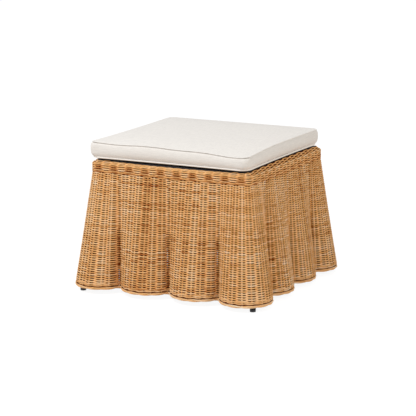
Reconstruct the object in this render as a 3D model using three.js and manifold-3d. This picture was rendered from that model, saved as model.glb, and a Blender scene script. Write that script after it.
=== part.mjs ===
// Square woven footstool: a scalloped rattan skirt round a frame of rattan poles, with a loose box cushion.
// Millimetres, +Z up. The origin is on the floor under the middle, and the front faces -Y.
import * as THREE from "three";
import { mergeVertices } from "three/addons/utils/BufferGeometryUtils.js";
import Module from "manifold-3d";

const wasm = await Module();
wasm.setup();

// Gaps and tolerances
const fit = 0.3; // left between two faces that seat on each other
const slack = 0.5; // round the foam and the deck, which drop in loosely
const overrun = 5; // how far a cutting body runs past what it cuts
const weld = 0.001; // corners closer than this are one corner

// Woven rim band, which caps the frame all round
const rimWidth = 540;
const rimCorner = 28;
const rimTop = 396;
const bandHeight = 27;
const bandWall = 6;
const bandLip = 14;
const lipThickness = 5;
const lipRise = 3.5; // of the lip's inner edge, where the weave laps up against the deck
const bandEdge = 4;

// Seat deck and its battens
const deckProud = 5.5;
const deckEdge = 1.5;
const battenWidth = 30;
const battenHeight = 18;
const battenPlace = 110;

// Skirt: a straight edge under the band, opening to a scalloped hem
const skirtSetback = 1;
const skirtWall = 6;
const hemHeight = 15;
const hemRoll = 9;
const hemNeck = 1.2;
const valleyPitch = 165.5;
const hemValleyHalf = 265.5;
const lobeBulge = 57;
const cornerReach = 427;

// Frame poles
const legThickness = 22;
const footGap = 4; // between the foot of a leg and the hem's roll
const topRailThickness = 22;
const hoopThickness = 12;
const midHoopHeight = 205;
const lowHoopHeight = 78;
const ribThickness = 9;
const ribSetback = 0.9; // of a rib's head, so that the straight rib clears the wall where the lobes begin

// Glides and the nails that hold them
const glideThickness = 18;
const glideHeight = 14;
const glideBevel = 1.5;
const nailShank = 3.2;
const nailHead = 9;
const nailHeadHeight = 2;
const nailRecess = 5;
const nailLength = 28; // below its head

// Loose box cushion
const cushionInset = 5; // of the cushion's seams inside the rim
const cushionCorner = 26;
const cushionLift = 6.5; // of the lower seam above the deck
const boxingHeight = 47;
const cushionCrown = 6;
const boxingBelly = 3.5;
const sideDraw = 5;
const coverThickness = 3;
const cushionShiftX = -7;
const cushionShiftY = -2;

// Zip along the cushion's back boxing
const zipLength = 420;
const zipWidth = 8;
const zipSetback = 0.8;
const teethWidth = 3;
const teethHeight = 1.6;
const sliderLength = 9;
const sliderWidth = 8;
const sliderPlate = 1.8;
const pullLength = 22;
const pullThickness = 1.4;
const bridgeHeight = 2.4;
const zipEndStop = 6;

// Counts, and the shares that shape the curved outlines
const sideNames = ["front", "right", "back", "left"];
const cornerNames = ["front_right", "back_right", "back_left", "front_left"];
const zipSide = sideNames.indexOf("back");
const poleFacets = 12;
const hoopFacets = 10;
const ribFacets = 8;
const turnedFacets = 18;
const cornerSteps = 5;
const lobeSteps = 12;
const cornerLobeSteps = 20;
const rollSteps = 4;
const edgeSteps = 2;
const wallHeightShares = [1, 0.68, 0.34, 0];
const bendShares = [0, 0.35, 0.7, 1];
const bendHandleShare = 0.38;
const rollNeckShare = 1.15;
const headEdgeShare = 0.6;
const nailPointShare = 2;
const fineCushion = { corner: 5, side: 7 };
const plainCushion = { corner: 3, side: 4 };
// Rings of the cushion's underside and top: each a share of the half width, then of the height between
// the ring's two ends: the deck and the lower seam, or the upper seam and the crown.
const undersideShares = [[0.5, 0], [0.86, 0], [0.93, 0.2], [0.975, 0.55]];
const crownShares = [[0.975, 0.36], [0.93, 0.6], [0.82, 0.78], [0.55, 0.93], [0.25, 0.99]];
const plainUndersideShares = [[0.86, 0], [0.95, 0.35]];
const plainCrownShares = [[0.95, 0.5], [0.6, 0.9]];
const boxingShares = [0, 0.14, 0.34, 0.5, 0.66, 0.86, 1];
const plainBoxingShares = [0, 0.25, 0.5, 0.75, 1];

// Heights that several pieces share
const bandBottom = rimTop - bandHeight;
const skirtTop = bandBottom - fit;
const deckTop = rimTop + deckProud;
const deckBottom = rimTop - lipThickness;
const frameTop = deckBottom - fit;
const lowerSeam = deckTop + cushionLift;
const upperSeam = lowerSeam + boxingHeight;
const zipMiddle = (lowerSeam + upperSeam) / 2;
const nailSeat = nailRecess - fit;
const nailTip = nailSeat + nailLength;

// Radii, and half widths that several pieces share
const rimHalf = rimWidth / 2;
const legRadius = legThickness / 2;
const hoopRadius = hoopThickness / 2;
const ribRadius = ribThickness / 2;
const railRadius = topRailThickness / 2;
const skirtHalf = rimHalf - skirtSetback;
const skirtCorner = rimCorner - skirtSetback;
const cornerCentre = rimHalf - rimCorner;
const railHalf = rimHalf - bandWall - fit - railRadius;
const cushionHalf = rimHalf - cushionInset;

const rattanWeave = new THREE.MeshStandardMaterial({ color: "#c1915e", roughness: 0.55, metalness: 0 });
const rattanPole = new THREE.MeshStandardMaterial({ color: "#b98a55", roughness: 0.5, metalness: 0 });
const blackBoard = new THREE.MeshStandardMaterial({ color: "#141210", roughness: 0.8, metalness: 0 });
const battenWood = new THREE.MeshStandardMaterial({ color: "#c8a878", roughness: 0.7, metalness: 0 });
const blackGlide = new THREE.MeshStandardMaterial({ color: "#0c0c0d", roughness: 0.45, metalness: 0 });
const nailSteel = new THREE.MeshStandardMaterial({ color: "#a8a8a6", roughness: 0.35, metalness: 1 });
const coverCloth = new THREE.MeshStandardMaterial({ color: "#ebe6e1", roughness: 0.95, metalness: 0 });
const foam = new THREE.MeshStandardMaterial({ color: "#e9dfae", roughness: 1, metalness: 0 });
const zipCloth = new THREE.MeshStandardMaterial({ color: "#ded7cf", roughness: 0.9, metalness: 0 });
const sliderMetal = new THREE.MeshStandardMaterial({ color: "#b9b7b2", roughness: 0.35, metalness: 1 });

// Solids

function geometryFrom(corners, faces) {
  const geometry = new THREE.BufferGeometry();
  geometry.setAttribute("position", new THREE.Float32BufferAttribute(corners, 3));
  geometry.setIndex(faces);
  return geometry;
}

// A closed body through a row of stations: place(station, point) puts each point of the section in space.
function loft(section, stationCount, place) {
  const corners = [];
  const faces = [];
  const size = section.length;
  for (let station = 0; station < stationCount; station += 1) {
    section.forEach((point) => corners.push(...place(station, point).toArray()));
  }
  for (let start = 0; start < (stationCount - 1) * size; start += size) {
    section.forEach((_, j) => {
      const here = start + j;
      const next = start + ((j + 1) % size);
      faces.push(here, next, next + size, here, next + size, here + size);
    });
  }
  const last = (stationCount - 1) * size;
  for (const [a, b, c] of THREE.ShapeUtils.triangulateShape(section, [])) {
    faces.push(a, c, b, last + a, last + b, last + c);
  }
  return geometryFrom(corners, faces);
}

// A closed body of rings round the Z axis, from a lowest point up to a highest one.
function wrap(lowest, rings, highest) {
  const points = [lowest, ...rings.flat(), highest];
  const corners = points.flatMap((point) => point.toArray());
  const size = rings[0].length;
  const faces = [];
  const top = corners.length / 3 - 1;
  for (let j = 0; j < size; j += 1) {
    const next = (j + 1) % size;
    faces.push(0, 1 + next, 1 + j, top, top - size + j, top - size + next);
    for (let ring = 0; ring + 1 < rings.length; ring += 1) {
      const a = 1 + ring * size + j;
      const b = 1 + ring * size + next;
      faces.push(a, b, b + size, a, b + size, a + size);
    }
  }
  return geometryFrom(corners, faces);
}

function manifoldOf(geometry) {
  const bare = new THREE.BufferGeometry();
  bare.setAttribute("position", geometry.getAttribute("position"));
  bare.setIndex(geometry.index);
  const merged = mergeVertices(bare, weld);
  return new wasm.Manifold(
    new wasm.Mesh({
      numProp: 3,
      vertProperties: merged.getAttribute("position").array,
      triVerts: new Uint32Array(merged.index.array),
    }),
  );
}

// The first geometry less all the others.
function cut(geometry, ...tools) {
  const rest = tools.reduce((left, tool) => left.subtract(manifoldOf(tool)), manifoldOf(geometry));
  const result = rest.getMesh();
  return geometryFrom(result.vertProperties, Array.from(result.triVerts));
}

function block(lengthX, lengthY, lengthZ, x, y, z) {
  return new THREE.BoxGeometry(lengthX, lengthY, lengthZ).translate(x, y, z);
}

function circle(radius, count) {
  return Array.from({ length: count }, (_, i) => {
    const angle = (2 * Math.PI * (i + 0.5)) / count;
    return new THREE.Vector2(radius * Math.cos(angle), radius * Math.sin(angle));
  });
}

function share(from, to, part) {
  return from + (to - from) * part;
}

// Plan curves of the skirt, walked anticlockwise along the front and round its right corner

function circularArc(start, end, bulge) {
  const chord = start.distanceTo(end);
  const radius = (chord * chord / 4 + bulge * bulge) / (2 * bulge);
  const along = end.clone().sub(start).normalize();
  const outward = new THREE.Vector2(along.y, -along.x);
  const centre = start.clone().add(end).multiplyScalar(0.5).addScaledVector(outward, bulge - radius);
  const first = start.clone().sub(centre).angle();
  const last = end.clone().sub(centre).angle();
  return new THREE.EllipseCurve(centre.x, centre.y, radius, radius, first, last, false, 0);
}

function cornerEdge() {
  const edge = new THREE.CurvePath();
  const middle = cornerCentre;
  const line = (x1, y1, x2, y2) => new THREE.LineCurve(new THREE.Vector2(x1, y1), new THREE.Vector2(x2, y2));
  edge.add(line(valleyPitch, -skirtHalf, middle, -skirtHalf));
  edge.add(new THREE.EllipseCurve(middle, -middle, skirtCorner, skirtCorner, -Math.PI / 2, 0, false, 0));
  edge.add(line(skirtHalf, -middle, skirtHalf, -valleyPitch));
  return edge;
}

function sideLobeCurves(firstX) {
  const lastX = firstX + valleyPitch;
  return {
    edge: new THREE.LineCurve(new THREE.Vector2(firstX, -skirtHalf), new THREE.Vector2(lastX, -skirtHalf)),
    hem: circularArc(
      new THREE.Vector2(firstX, -hemValleyHalf),
      new THREE.Vector2(lastX, -hemValleyHalf),
      lobeBulge,
    ),
  };
}

function cornerLobeCurves() {
  const start = new THREE.Vector2(valleyPitch, -hemValleyHalf);
  const end = new THREE.Vector2(hemValleyHalf, -valleyPitch);
  const chordReach = start.clone().add(end).multiplyScalar(0.5).length();
  return { edge: cornerEdge(), hem: circularArc(start, end, cornerReach - chordReach) };
}

// The outer face of a lobe: straight lines from its edge under the band down to its arc at the hem.
function lobePoint({ edge, hem }, along, height, depth) {
  const down = (skirtTop - height) / (skirtTop - hemHeight);
  const high = edge.getPointAt(along);
  const low = hem.getPointAt(along);
  const highRun = edge.getTangentAt(along).multiplyScalar(edge.getLength());
  const lowRun = hem.getTangentAt(along).multiplyScalar(hem.getLength());
  const run = highRun.lerp(lowRun, down).normalize();
  const place = high.lerp(low, down);
  return new THREE.Vector3(place.x - run.y * depth, place.y + run.x * depth, height);
}

// Section of the woven wall: depth behind its outer face, and height. The hem is turned up into a roll.
function lobeSection() {
  const rollRadius = hemRoll / 2;
  const rollMiddle = hemHeight + rollRadius;
  const rollTop = hemHeight + hemRoll;
  const neckHeight = hemHeight + hemRoll * rollNeckShare;
  const wallFrom = (depth, low) =>
    wallHeightShares.map((part) => new THREE.Vector2(depth, share(low, skirtTop, part)));
  const outer = wallFrom(0, neckHeight + hemNeck);
  const neck = new THREE.Vector2(hemNeck, rollTop);
  const roll = Array.from({ length: rollSteps + 1 }, (_, i) => {
    const angle = Math.PI + (Math.PI * i) / rollSteps;
    return new THREE.Vector2(rollRadius * (1 + Math.cos(angle)), rollMiddle + rollRadius * Math.sin(angle));
  });
  return [...outer, neck, ...roll, ...wallFrom(skirtWall, neckHeight).reverse()];
}

function skirtLobe(curves, steps) {
  const gap = fit / curves.hem.getLength();
  return loft(lobeSection(), steps + 1, (station, point) => {
    const along = share(gap, 1 - gap, station / steps);
    return lobePoint(curves, along, point.y, point.x);
  });
}

// Frame

// Half width between the axes of the four legs at a height: they lean out from the rim to the hem's corners.
function legHalf(height) {
  const seat = skirtCorner - skirtWall - fit - legRadius;
  const high = cornerCentre + seat * Math.SQRT1_2;
  const low = (cornerReach - hemRoll - footGap - legRadius) * Math.SQRT1_2;
  return share(low, high, height / skirtTop);
}

function legBody(radius, bottom, top) {
  return loft(circle(radius, poleFacets), 2, (station, point) => {
    const height = station === 0 ? bottom : top;
    const middle = legHalf(height);
    return new THREE.Vector3(middle + point.x, -middle + point.y, height);
  });
}

function leg() {
  const radius = nailShank / 2 + fit;
  const bottom = glideHeight - overrun;
  const top = nailTip + slack;
  const pilot = new THREE.CylinderGeometry(radius, radius, top - bottom, ribFacets).rotateX(Math.PI / 2);
  const pole = legBody(legRadius, glideHeight + fit, frameTop);
  return cut(pole, atFoot(pilot.translate(0, 0, (top + bottom) / 2)));
}

// The two legs at the ends of a front rail, grown by the fit, which shape the rail's coped ends.
function copingLegs() {
  const right = legBody(legRadius + fit, -overrun, rimTop + overrun);
  return [right, right.clone().rotateZ(-Math.PI / 2)];
}

// A top rail is as long as the band's straight side, and fits round the two legs.
function topRail() {
  const height = frameTop - railRadius;
  const reach = cornerCentre - fit;
  const rail = loft(circle(railRadius, poleFacets), 2, (station, point) => {
    const end = station === 0 ? -reach : reach;
    return new THREE.Vector3(end, -railHalf + point.x, height + point.y);
  });
  return cut(rail, ...copingLegs());
}

// Half width to the axis of a valley's rib: under the wall at the top, in the notch between lobes at the hem.
function ribHalf(height) {
  const high = skirtHalf - skirtWall - ribSetback - fit - ribRadius;
  const lobeRadius = (valleyPitch * valleyPitch / 4 + lobeBulge * lobeBulge) / (2 * lobeBulge);
  const notchSine = Math.min(1, valleyPitch / 2 / lobeRadius);
  const low = hemValleyHalf - (ribRadius + fit) / notchSine;
  return share(low, high, (height - hemHeight) / (skirtTop - hemHeight));
}

function valleyRib(x) {
  return loft(circle(ribRadius, ribFacets), 2, (station, point) => {
    const height = station === 0 ? hemHeight : skirtTop - fit;
    return new THREE.Vector3(x + point.x, -ribHalf(height) + point.y, height);
  });
}

// A hoop rail lies straight behind the three ribs of its side, and bends out at both ends to the legs.
function hoopRail(height) {
  const rest = -(ribHalf(height) - ribRadius - fit - hoopRadius);
  const reach = legHalf(height);
  const bendStart = valleyPitch + ribThickness + hoopRadius;
  const handle = (reach - bendStart) * bendHandleShare;
  const bend = new THREE.QuadraticBezierCurve(
    new THREE.Vector2(bendStart, rest),
    new THREE.Vector2(bendStart + handle, rest),
    new THREE.Vector2(reach, -reach),
  );
  const right = bendShares.map((part) => ({ place: bend.getPoint(part), run: bend.getTangent(part) }));
  const left = right.map(({ place, run }) => ({
    place: new THREE.Vector2(-place.x, place.y),
    run: new THREE.Vector2(run.x, -run.y),
  }));
  const stations = [...left.reverse(), ...right];
  const rail = loft(circle(hoopRadius, hoopFacets), stations.length, (station, point) => {
    const { place, run } = stations[station];
    return new THREE.Vector3(place.x - run.y * point.x, place.y + run.x * point.x, height + point.y);
  });
  return cut(rail, ...copingLegs());
}

// Rim band and deck

// The band's section: depth behind its outer face, and height. An upright wall, whose lip is turned in over
// the frame and rises a little to the deck.
function bandSection() {
  const edge = Array.from({ length: edgeSteps + 1 }, (_, i) => {
    const angle = (Math.PI / 2) * (i / edgeSteps);
    return new THREE.Vector2(bandEdge * (1 - Math.sin(angle)), rimTop - bandEdge * (1 - Math.cos(angle)));
  });
  return [
    new THREE.Vector2(bandLip, rimTop + lipRise),
    ...edge,
    new THREE.Vector2(0, bandBottom),
    new THREE.Vector2(bandWall, bandBottom),
    new THREE.Vector2(bandWall, rimTop - lipThickness),
    new THREE.Vector2(bandLip, rimTop - lipThickness),
  ];
}

// One side of the band, mitred in the middle of both rounded corners.
function rimBand() {
  const swing = Math.PI / 4 - fit / 2 / (rimCorner - bandLip);
  const right = Array.from({ length: cornerSteps + 1 }, (_, i) => ({
    x: cornerCentre,
    turn: (swing * i) / cornerSteps,
  }));
  const left = right.map(({ x, turn }) => ({ x: -x, turn: -turn })).reverse();
  const stations = [...left, ...right];
  return loft(bandSection(), stations.length, (station, point) => {
    const { x, turn } = stations[station];
    const radius = rimCorner - point.x;
    return new THREE.Vector3(x + radius * Math.sin(turn), -cornerCentre - radius * Math.cos(turn), point.y);
  });
}

function roundedSquare(half, corner) {
  const shape = new THREE.Shape();
  const straight = half - corner;
  shape.absarc(straight, -straight, corner, -Math.PI / 2, 0, false);
  shape.absarc(straight, straight, corner, 0, Math.PI / 2, false);
  shape.absarc(-straight, straight, corner, Math.PI / 2, Math.PI, false);
  shape.absarc(-straight, -straight, corner, Math.PI, 1.5 * Math.PI, false);
  return shape;
}

function seatDeck() {
  const half = rimHalf - bandLip - slack - deckEdge;
  const corner = Math.max(rimCorner - bandLip - slack - deckEdge, deckEdge);
  const board = new THREE.ExtrudeGeometry(roundedSquare(half, corner), {
    depth: deckTop - deckBottom - 2 * deckEdge,
    bevelThickness: deckEdge,
    bevelSize: deckEdge,
    bevelSegments: 1,
    curveSegments: cornerSteps,
  });
  return board.translate(0, 0, deckBottom + deckEdge);
}

function deckBatten(x) {
  const length = 2 * (railHalf - railRadius - fit);
  return block(battenWidth, length, battenHeight, x, 0, frameTop - battenHeight / 2);
}

// Glides

function turned(profile, facets) {
  return new THREE.LatheGeometry(profile, facets).rotateX(Math.PI / 2);
}

function atFoot(geometry) {
  return geometry.translate(legHalf(0), -legHalf(0), 0);
}

function glide() {
  const outside = glideThickness / 2;
  const hole = nailShank / 2 + fit;
  const recess = nailHead / 2 + fit;
  const profile = [
    new THREE.Vector2(recess, 0),
    new THREE.Vector2(outside - glideBevel, 0),
    new THREE.Vector2(outside, glideBevel),
    new THREE.Vector2(outside, glideHeight),
    new THREE.Vector2(hole, glideHeight),
    new THREE.Vector2(hole, nailRecess),
    new THREE.Vector2(recess, nailRecess),
    new THREE.Vector2(recess, 0),
  ];
  return atFoot(turned(profile, turnedFacets));
}

function glideNail() {
  const shank = nailShank / 2;
  const head = nailHead / 2;
  const headBottom = nailSeat - nailHeadHeight;
  const profile = [
    new THREE.Vector2(0, headBottom),
    new THREE.Vector2(head * headEdgeShare, headBottom),
    new THREE.Vector2(head, share(headBottom, nailSeat, headEdgeShare)),
    new THREE.Vector2(head, nailSeat),
    new THREE.Vector2(shank, nailSeat),
    new THREE.Vector2(shank, nailTip - nailShank * nailPointShare),
    new THREE.Vector2(0, nailTip),
  ];
  return atFoot(turned(profile, ribFacets));
}

// Cushion

// Half width of the boxing at a share of its height, where the filling bellies it out between the two seams.
function boxingHalf(part, inset) {
  return cushionHalf - inset + boxingBelly * (1 - (2 * part - 1) ** 2);
}

// A ring of the cushion: a rounded square whose sides are drawn in between its corners, but for the zip's.
function cushionRing(half, inset, height, scale, { corner, side }) {
  const radius = cushionCorner - inset;
  const straight = half - radius;
  const ring = [];
  for (let quarter = 0; quarter < sideNames.length; quarter += 1) {
    const draw = quarter === zipSide ? 0 : sideDraw;
    const turn = (quarter * Math.PI) / 2;
    const points = [];
    for (let i = 0; i < side; i += 1) {
      const across = (2 * i) / side - 1;
      points.push(new THREE.Vector2(straight * across, -half + draw * (1 - across * across)));
    }
    for (let i = 0; i < corner; i += 1) {
      const angle = (Math.PI / 2) * (i / corner - 1);
      const spoke = new THREE.Vector2(Math.cos(angle), Math.sin(angle)).multiplyScalar(radius);
      points.push(spoke.add(new THREE.Vector2(straight, -straight)));
    }
    points.forEach((point) => {
      point.rotateAround(new THREE.Vector2(0, 0), turn).multiplyScalar(scale);
      ring.push(new THREE.Vector3(point.x + cushionShiftX, point.y + cushionShiftY, height));
    });
  }
  return ring;
}

// The cushion's body, drawn in on all faces by an inset: flat where it lies on the deck, crowned on top.
function cushionBody(inset, density, undersides, boxing, crowns) {
  const bottom = deckTop + fit + inset;
  const low = lowerSeam + inset / 2;
  const high = upperSeam - inset / 2;
  const top = upperSeam + cushionCrown - inset;
  const ring = (half, height, scale) => cushionRing(half, inset, height, scale, density);
  const seamHalf = cushionHalf - inset;
  const rings = [
    ...undersides.map(([scale, part]) => ring(seamHalf, share(bottom, low, part), scale)),
    ...boxing.map((part) => ring(boxingHalf(part, inset), share(low, high, part), 1)),
    ...crowns.map(([scale, part]) => ring(seamHalf, share(high, top, part), scale)),
  ];
  const lowest = new THREE.Vector3(cushionShiftX, cushionShiftY, bottom);
  const highest = new THREE.Vector3(cushionShiftX, cushionShiftY, top);
  return wrap(lowest, rings, highest);
}

function coreBody(inset) {
  return cushionBody(inset, plainCushion, plainUndersideShares, plainBoxingShares, plainCrownShares);
}

// The outermost line of the back boxing, where the zip lies.
const zipFace = cushionShiftY + boxingHalf(0.5, 0);

function cushionCover() {
  const outside = cushionBody(0, fineCushion, undersideShares, boxingShares, crownShares);
  const slotDepth = coverThickness + 2 * overrun;
  const slot = block(zipLength, slotDepth, zipWidth, cushionShiftX, zipFace - coverThickness / 2, zipMiddle);
  return cut(outside, coreBody(coverThickness), slot);
}

// An outline in depth and height, run along the zip from one X to another.
function alongZip(points, firstX, lastX) {
  return loft(points, 2, (station, point) => {
    const x = station === 0 ? firstX : lastX;
    return new THREE.Vector3(x, point.x, zipMiddle + point.y);
  });
}

function zipTape() {
  const face = zipFace - zipSetback;
  const back = zipFace - coverThickness;
  const half = zipWidth / 2 - fit;
  const teeth = teethWidth / 2;
  const end = zipLength / 2 - fit;
  const outline = [
    new THREE.Vector2(back, -half),
    new THREE.Vector2(face, -half),
    new THREE.Vector2(face, -teeth),
    new THREE.Vector2(face + teethHeight, -teeth),
    new THREE.Vector2(face + teethHeight, teeth),
    new THREE.Vector2(face, teeth),
    new THREE.Vector2(face, half),
    new THREE.Vector2(back, half),
  ];
  return alongZip(outline, cushionShiftX - end, cushionShiftX + end);
}

// The slider straddles the teeth, and its pull hangs from a bridge on its face.
function zipSlider() {
  const under = zipFace - zipSetback + fit;
  const groove = zipFace - zipSetback + teethHeight + fit;
  const face = groove + sliderPlate;
  const pullFace = face + bridgeHeight;
  const half = sliderWidth / 2;
  const teeth = teethWidth / 2 + fit;
  const pullEnd = -pullLength;
  const outline = [
    new THREE.Vector2(under, -half),
    new THREE.Vector2(face, -half),
    new THREE.Vector2(pullFace - pullThickness, teeth - half),
    new THREE.Vector2(pullFace - pullThickness, pullEnd),
    new THREE.Vector2(pullFace, pullEnd),
    new THREE.Vector2(pullFace, teeth),
    new THREE.Vector2(face, half),
    new THREE.Vector2(under, half),
    new THREE.Vector2(under, teeth),
    new THREE.Vector2(groove, teeth),
    new THREE.Vector2(groove, -teeth),
    new THREE.Vector2(under, -teeth),
  ];
  const closed = cushionShiftX + zipLength / 2 - zipEndStop;
  return alongZip(outline, closed - sliderLength, closed);
}

// Assembly

function mesh(name, geometry, material) {
  const piece = new THREE.Mesh(geometry, material);
  piece.name = name;
  return piece;
}

// One side of the footstool and the corner to its right, made at the front and turned to its place.
function side(index) {
  const name = sideNames[index];
  const corner = cornerNames[index];
  const hoopDrop = index % 2 === 0 ? 0 : hoopThickness + fit;
  const group = new THREE.Group();
  group.rotation.z = (index * Math.PI) / 2;
  group.add(
    mesh(`rim_band_${name}`, rimBand(), rattanWeave),
    mesh(`skirt_${name}_a`, skirtLobe(sideLobeCurves(-valleyPitch), lobeSteps), rattanWeave),
    mesh(`skirt_${name}_b`, skirtLobe(sideLobeCurves(0), lobeSteps), rattanWeave),
    mesh(`skirt_corner_${corner}`, skirtLobe(cornerLobeCurves(), cornerLobeSteps), rattanWeave),
    mesh(`rib_${name}_a`, valleyRib(-valleyPitch), rattanPole),
    mesh(`rib_${name}_b`, valleyRib(0), rattanPole),
    mesh(`rib_${name}_c`, valleyRib(valleyPitch), rattanPole),
    mesh(`top_rail_${name}`, topRail(), rattanPole),
    mesh(`mid_rail_${name}`, hoopRail(midHoopHeight - hoopDrop), rattanPole),
    mesh(`low_rail_${name}`, hoopRail(lowHoopHeight - hoopDrop), rattanPole),
    mesh(`leg_${corner}`, leg(), rattanPole),
    mesh(`glide_${corner}`, glide(), blackGlide),
    mesh(`glide_nail_${corner}`, glideNail(), nailSteel),
  );
  return group;
}

const base = new THREE.Group();
sideNames.forEach((_, index) => base.add(side(index)));
base.add(
  mesh("seat_deck", seatDeck(), blackBoard),
  mesh("deck_batten_left", deckBatten(-battenPlace), battenWood),
  mesh("deck_batten_right", deckBatten(battenPlace), battenWood),
);

const cushion = new THREE.Group();
cushion.add(
  mesh("cushion_cover", cushionCover(), coverCloth),
  mesh("cushion_foam", coreBody(coverThickness + slack), foam),
  mesh("zip_tape", zipTape(), zipCloth),
  mesh("zip_slider", zipSlider(), sliderMetal),
);

const footstool = new THREE.Group();
footstool.add(base, cushion);

export default footstool;
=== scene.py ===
"""Looks of the woven skirt footstool: rattan weave, poles, deck, glides, cushion and zip round its frame."""

import math

import bpy
import numpy as np
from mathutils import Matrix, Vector


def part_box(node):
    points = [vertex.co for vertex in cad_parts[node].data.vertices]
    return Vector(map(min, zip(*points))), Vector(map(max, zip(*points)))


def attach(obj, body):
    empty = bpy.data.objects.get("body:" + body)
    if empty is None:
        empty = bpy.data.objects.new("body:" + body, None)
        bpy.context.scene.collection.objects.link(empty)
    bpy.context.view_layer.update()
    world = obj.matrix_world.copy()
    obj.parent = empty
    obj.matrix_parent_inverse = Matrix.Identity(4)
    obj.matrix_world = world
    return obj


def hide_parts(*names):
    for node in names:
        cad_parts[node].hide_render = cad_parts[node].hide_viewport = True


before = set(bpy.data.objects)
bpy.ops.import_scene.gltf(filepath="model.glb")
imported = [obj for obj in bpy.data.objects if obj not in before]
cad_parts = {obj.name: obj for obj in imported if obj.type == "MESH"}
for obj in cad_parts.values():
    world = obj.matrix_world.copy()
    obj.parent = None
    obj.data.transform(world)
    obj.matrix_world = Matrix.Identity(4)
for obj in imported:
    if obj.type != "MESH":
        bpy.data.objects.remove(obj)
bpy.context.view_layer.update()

bl_info = {
    "name": "Woven Skirt Footstool",
    "version": (1, 0, 0),
    "blender": (4, 5, 0),
    "location": "View3D > Sidebar > Footstool",
    "description": "Weaves, binds and upholsters a footstool round its frame",
    "category": "Add Mesh",
}

MM = 0.001
NUDGE = 0.05 * MM

# Along its UV map each strand starts this much further on, so that no two look alike
STRAND_SHIFT = 0.37

BASE, CUSHION, SLIDER = "base", "cushion", "zip_slider"
SIDES = ("front", "right", "back", "left")
CORNERS = ("front_right", "back_right", "back_left", "front_left")
FRONT_FACE = np.array((1.0, 0.0))
RIGHT_FACE = np.array((0.0, 1.0))


def middle(node):
    """Middle of a node's box."""
    low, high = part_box(node)
    return (low + high) / 2


# Places read from the frame
BAND_LOW, BAND_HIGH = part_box("rim_band_front")
SKIRT_LOW, SKIRT_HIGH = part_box("skirt_front_a")
DECK_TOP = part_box("seat_deck")[1].z
RAIL_LOW, RAIL_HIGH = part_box("top_rail_front")
LEG_LOW, LEG_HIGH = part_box("leg_front_right")
RIB_LOW, RIB_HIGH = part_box("rib_front_c")
COVER_LOW, COVER_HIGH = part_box("cushion_cover")
TAPE_LOW, TAPE_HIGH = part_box("zip_tape")
SLIDER_LOW, SLIDER_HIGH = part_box("zip_slider")
VALLEY_PITCH = middle("rib_front_c").x
VALLEYS = (-VALLEY_PITCH, 0, VALLEY_PITCH)

# The woven walls, as the frame has them
RIM_HALF = -BAND_LOW.y
RIM_CORNER = 28 * MM
CORNER_CENTRE = RIM_HALF - RIM_CORNER
SKIRT_SETBACK = 1 * MM
SKIRT_HALF = RIM_HALF - SKIRT_SETBACK
HEM_VALLEY_HALF = 265.5 * MM
LOBE_BULGE = -SKIRT_LOW.y - HEM_VALLEY_HALF
CORNER_REACH = 427 * MM

# The rim band: its rounded edge, its laps over the deck's edge, and its lower line
LIP_RISE = 3.5 * MM
RIM_TOP = BAND_HIGH.z - LIP_RISE
BAND_EDGE = 6 * MM
LIP_LAP = ((15 * MM, 7.2 * MM), (19 * MM, 7.8 * MM))
SIDE_LAPS = (0.36, 1.4, 1.1, 0.85)
RIM_LINE = 7.6 * MM

# How deep the rim's strands are behind a stake, and how much painted shade darkens them there: below its
# line, up its face and on its laps
RIM_SINK = (2.6 * MM, 3.0 * MM, 2.4 * MM)
RIM_PAINTED_SHADE = (0.6, 0.7, 0.9)

# A stake of the rim: its depth, its notch, its half width, its half thickness and its tone, which is dark as
# painted shade, for it shows only in the gaps between rows
RIM_STAKE = (3.1 * MM, 0, 1.3 * MM, 1.2 * MM, 0.2)

# The strands that finish the rim's lower edge: height, share of the swing, half width and tone
RIM_EDGE_STRANDS = ((-0.3 * MM, 0, 1.5 * MM, 0.34), (RIM_LINE, 1, 0.9 * MM, 0.16))
RIM_EDGE_DEPTH = 1.6 * MM
RIM_EDGE_SWING = 1.3 * MM
RIM_EDGE_THIN = 1 * MM

# The skirt's rows, from the hem up
HEM_RADIUS = 4.5 * MM
HEM_ROLL_MIDDLE = SKIRT_LOW.z + HEM_RADIUS
HEM_GROOVE = SKIRT_LOW.z + 9.6 * MM
LINING_HEIGHT = SKIRT_LOW.z + 11.5 * MM
LINING_HALF = 9 * MM
LINING_DEPTH = 7 * MM
LINING_THIN = 0.5 * MM
TWINED_ROWS = (SKIRT_LOW.z + 12.9 * MM, SKIRT_LOW.z + 17.6 * MM)
FIRST_ROW = SKIRT_LOW.z + 21.2 * MM
ROW_UNEVENNESS = 0.1 * MM
ROW_WAVE = 0.22 * MM
STAKE_ALTERNATION = 0.13
STAKE_SCATTER = 0.06
STAKE_LEAN = 0.0012
TWINED_DEPTH = 3.9 * MM
TWINED_SWING = 2.4 * MM
TWINED_RISE = 1.25 * MM

# Notches: the radius with which a strand rounds a valley, for rows, twined rows and the hem's roll
ROW_NOTCH = 1.2 * MM
TWINED_NOTCH = 2.5 * MM
HEM_NOTCH = 4.6 * MM

# The dark strand in the hem's groove: its depth, its notch, its two half axes, its tone and its facets
HEM_SHADOW = (2.2 * MM, TWINED_NOTCH, 0.9 * MM, 0.9 * MM, 0.05, 5)

# The skirt's valleys, which open below a height: where strands dive, and the near-black strip behind the
# ribs, painted shade
OPEN_VALLEY_HEIGHT = 200 * MM
OPENING_REACH = 20 * MM
JOINED_DEPTHS = (2.4 * MM, 6 * MM)
VALLEY_DIVE = 4.5 * MM
VALLEY_LINING_GAP = 3.2 * MM
VALLEY_LINING_HALF = 15 * MM

# Tones of strands, from 0, dark, to 1, pale: common ones, their scatter, and the few that stand out
ROW_TONE = 0.58
ROW_SCATTER = 0.05
DARK_ROW_SHARE = 0.05
DARK_ROW_DROP = 0.12
NEW_STRAND_SHARE = 0.15
NEW_STRAND_CHANGE = 0.06
COLUMN_CHANGE = 0.07
STAKE_TONE = 0.62
TWINED_TONE = 0.6
STRAND_SCATTER = 0.1
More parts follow.
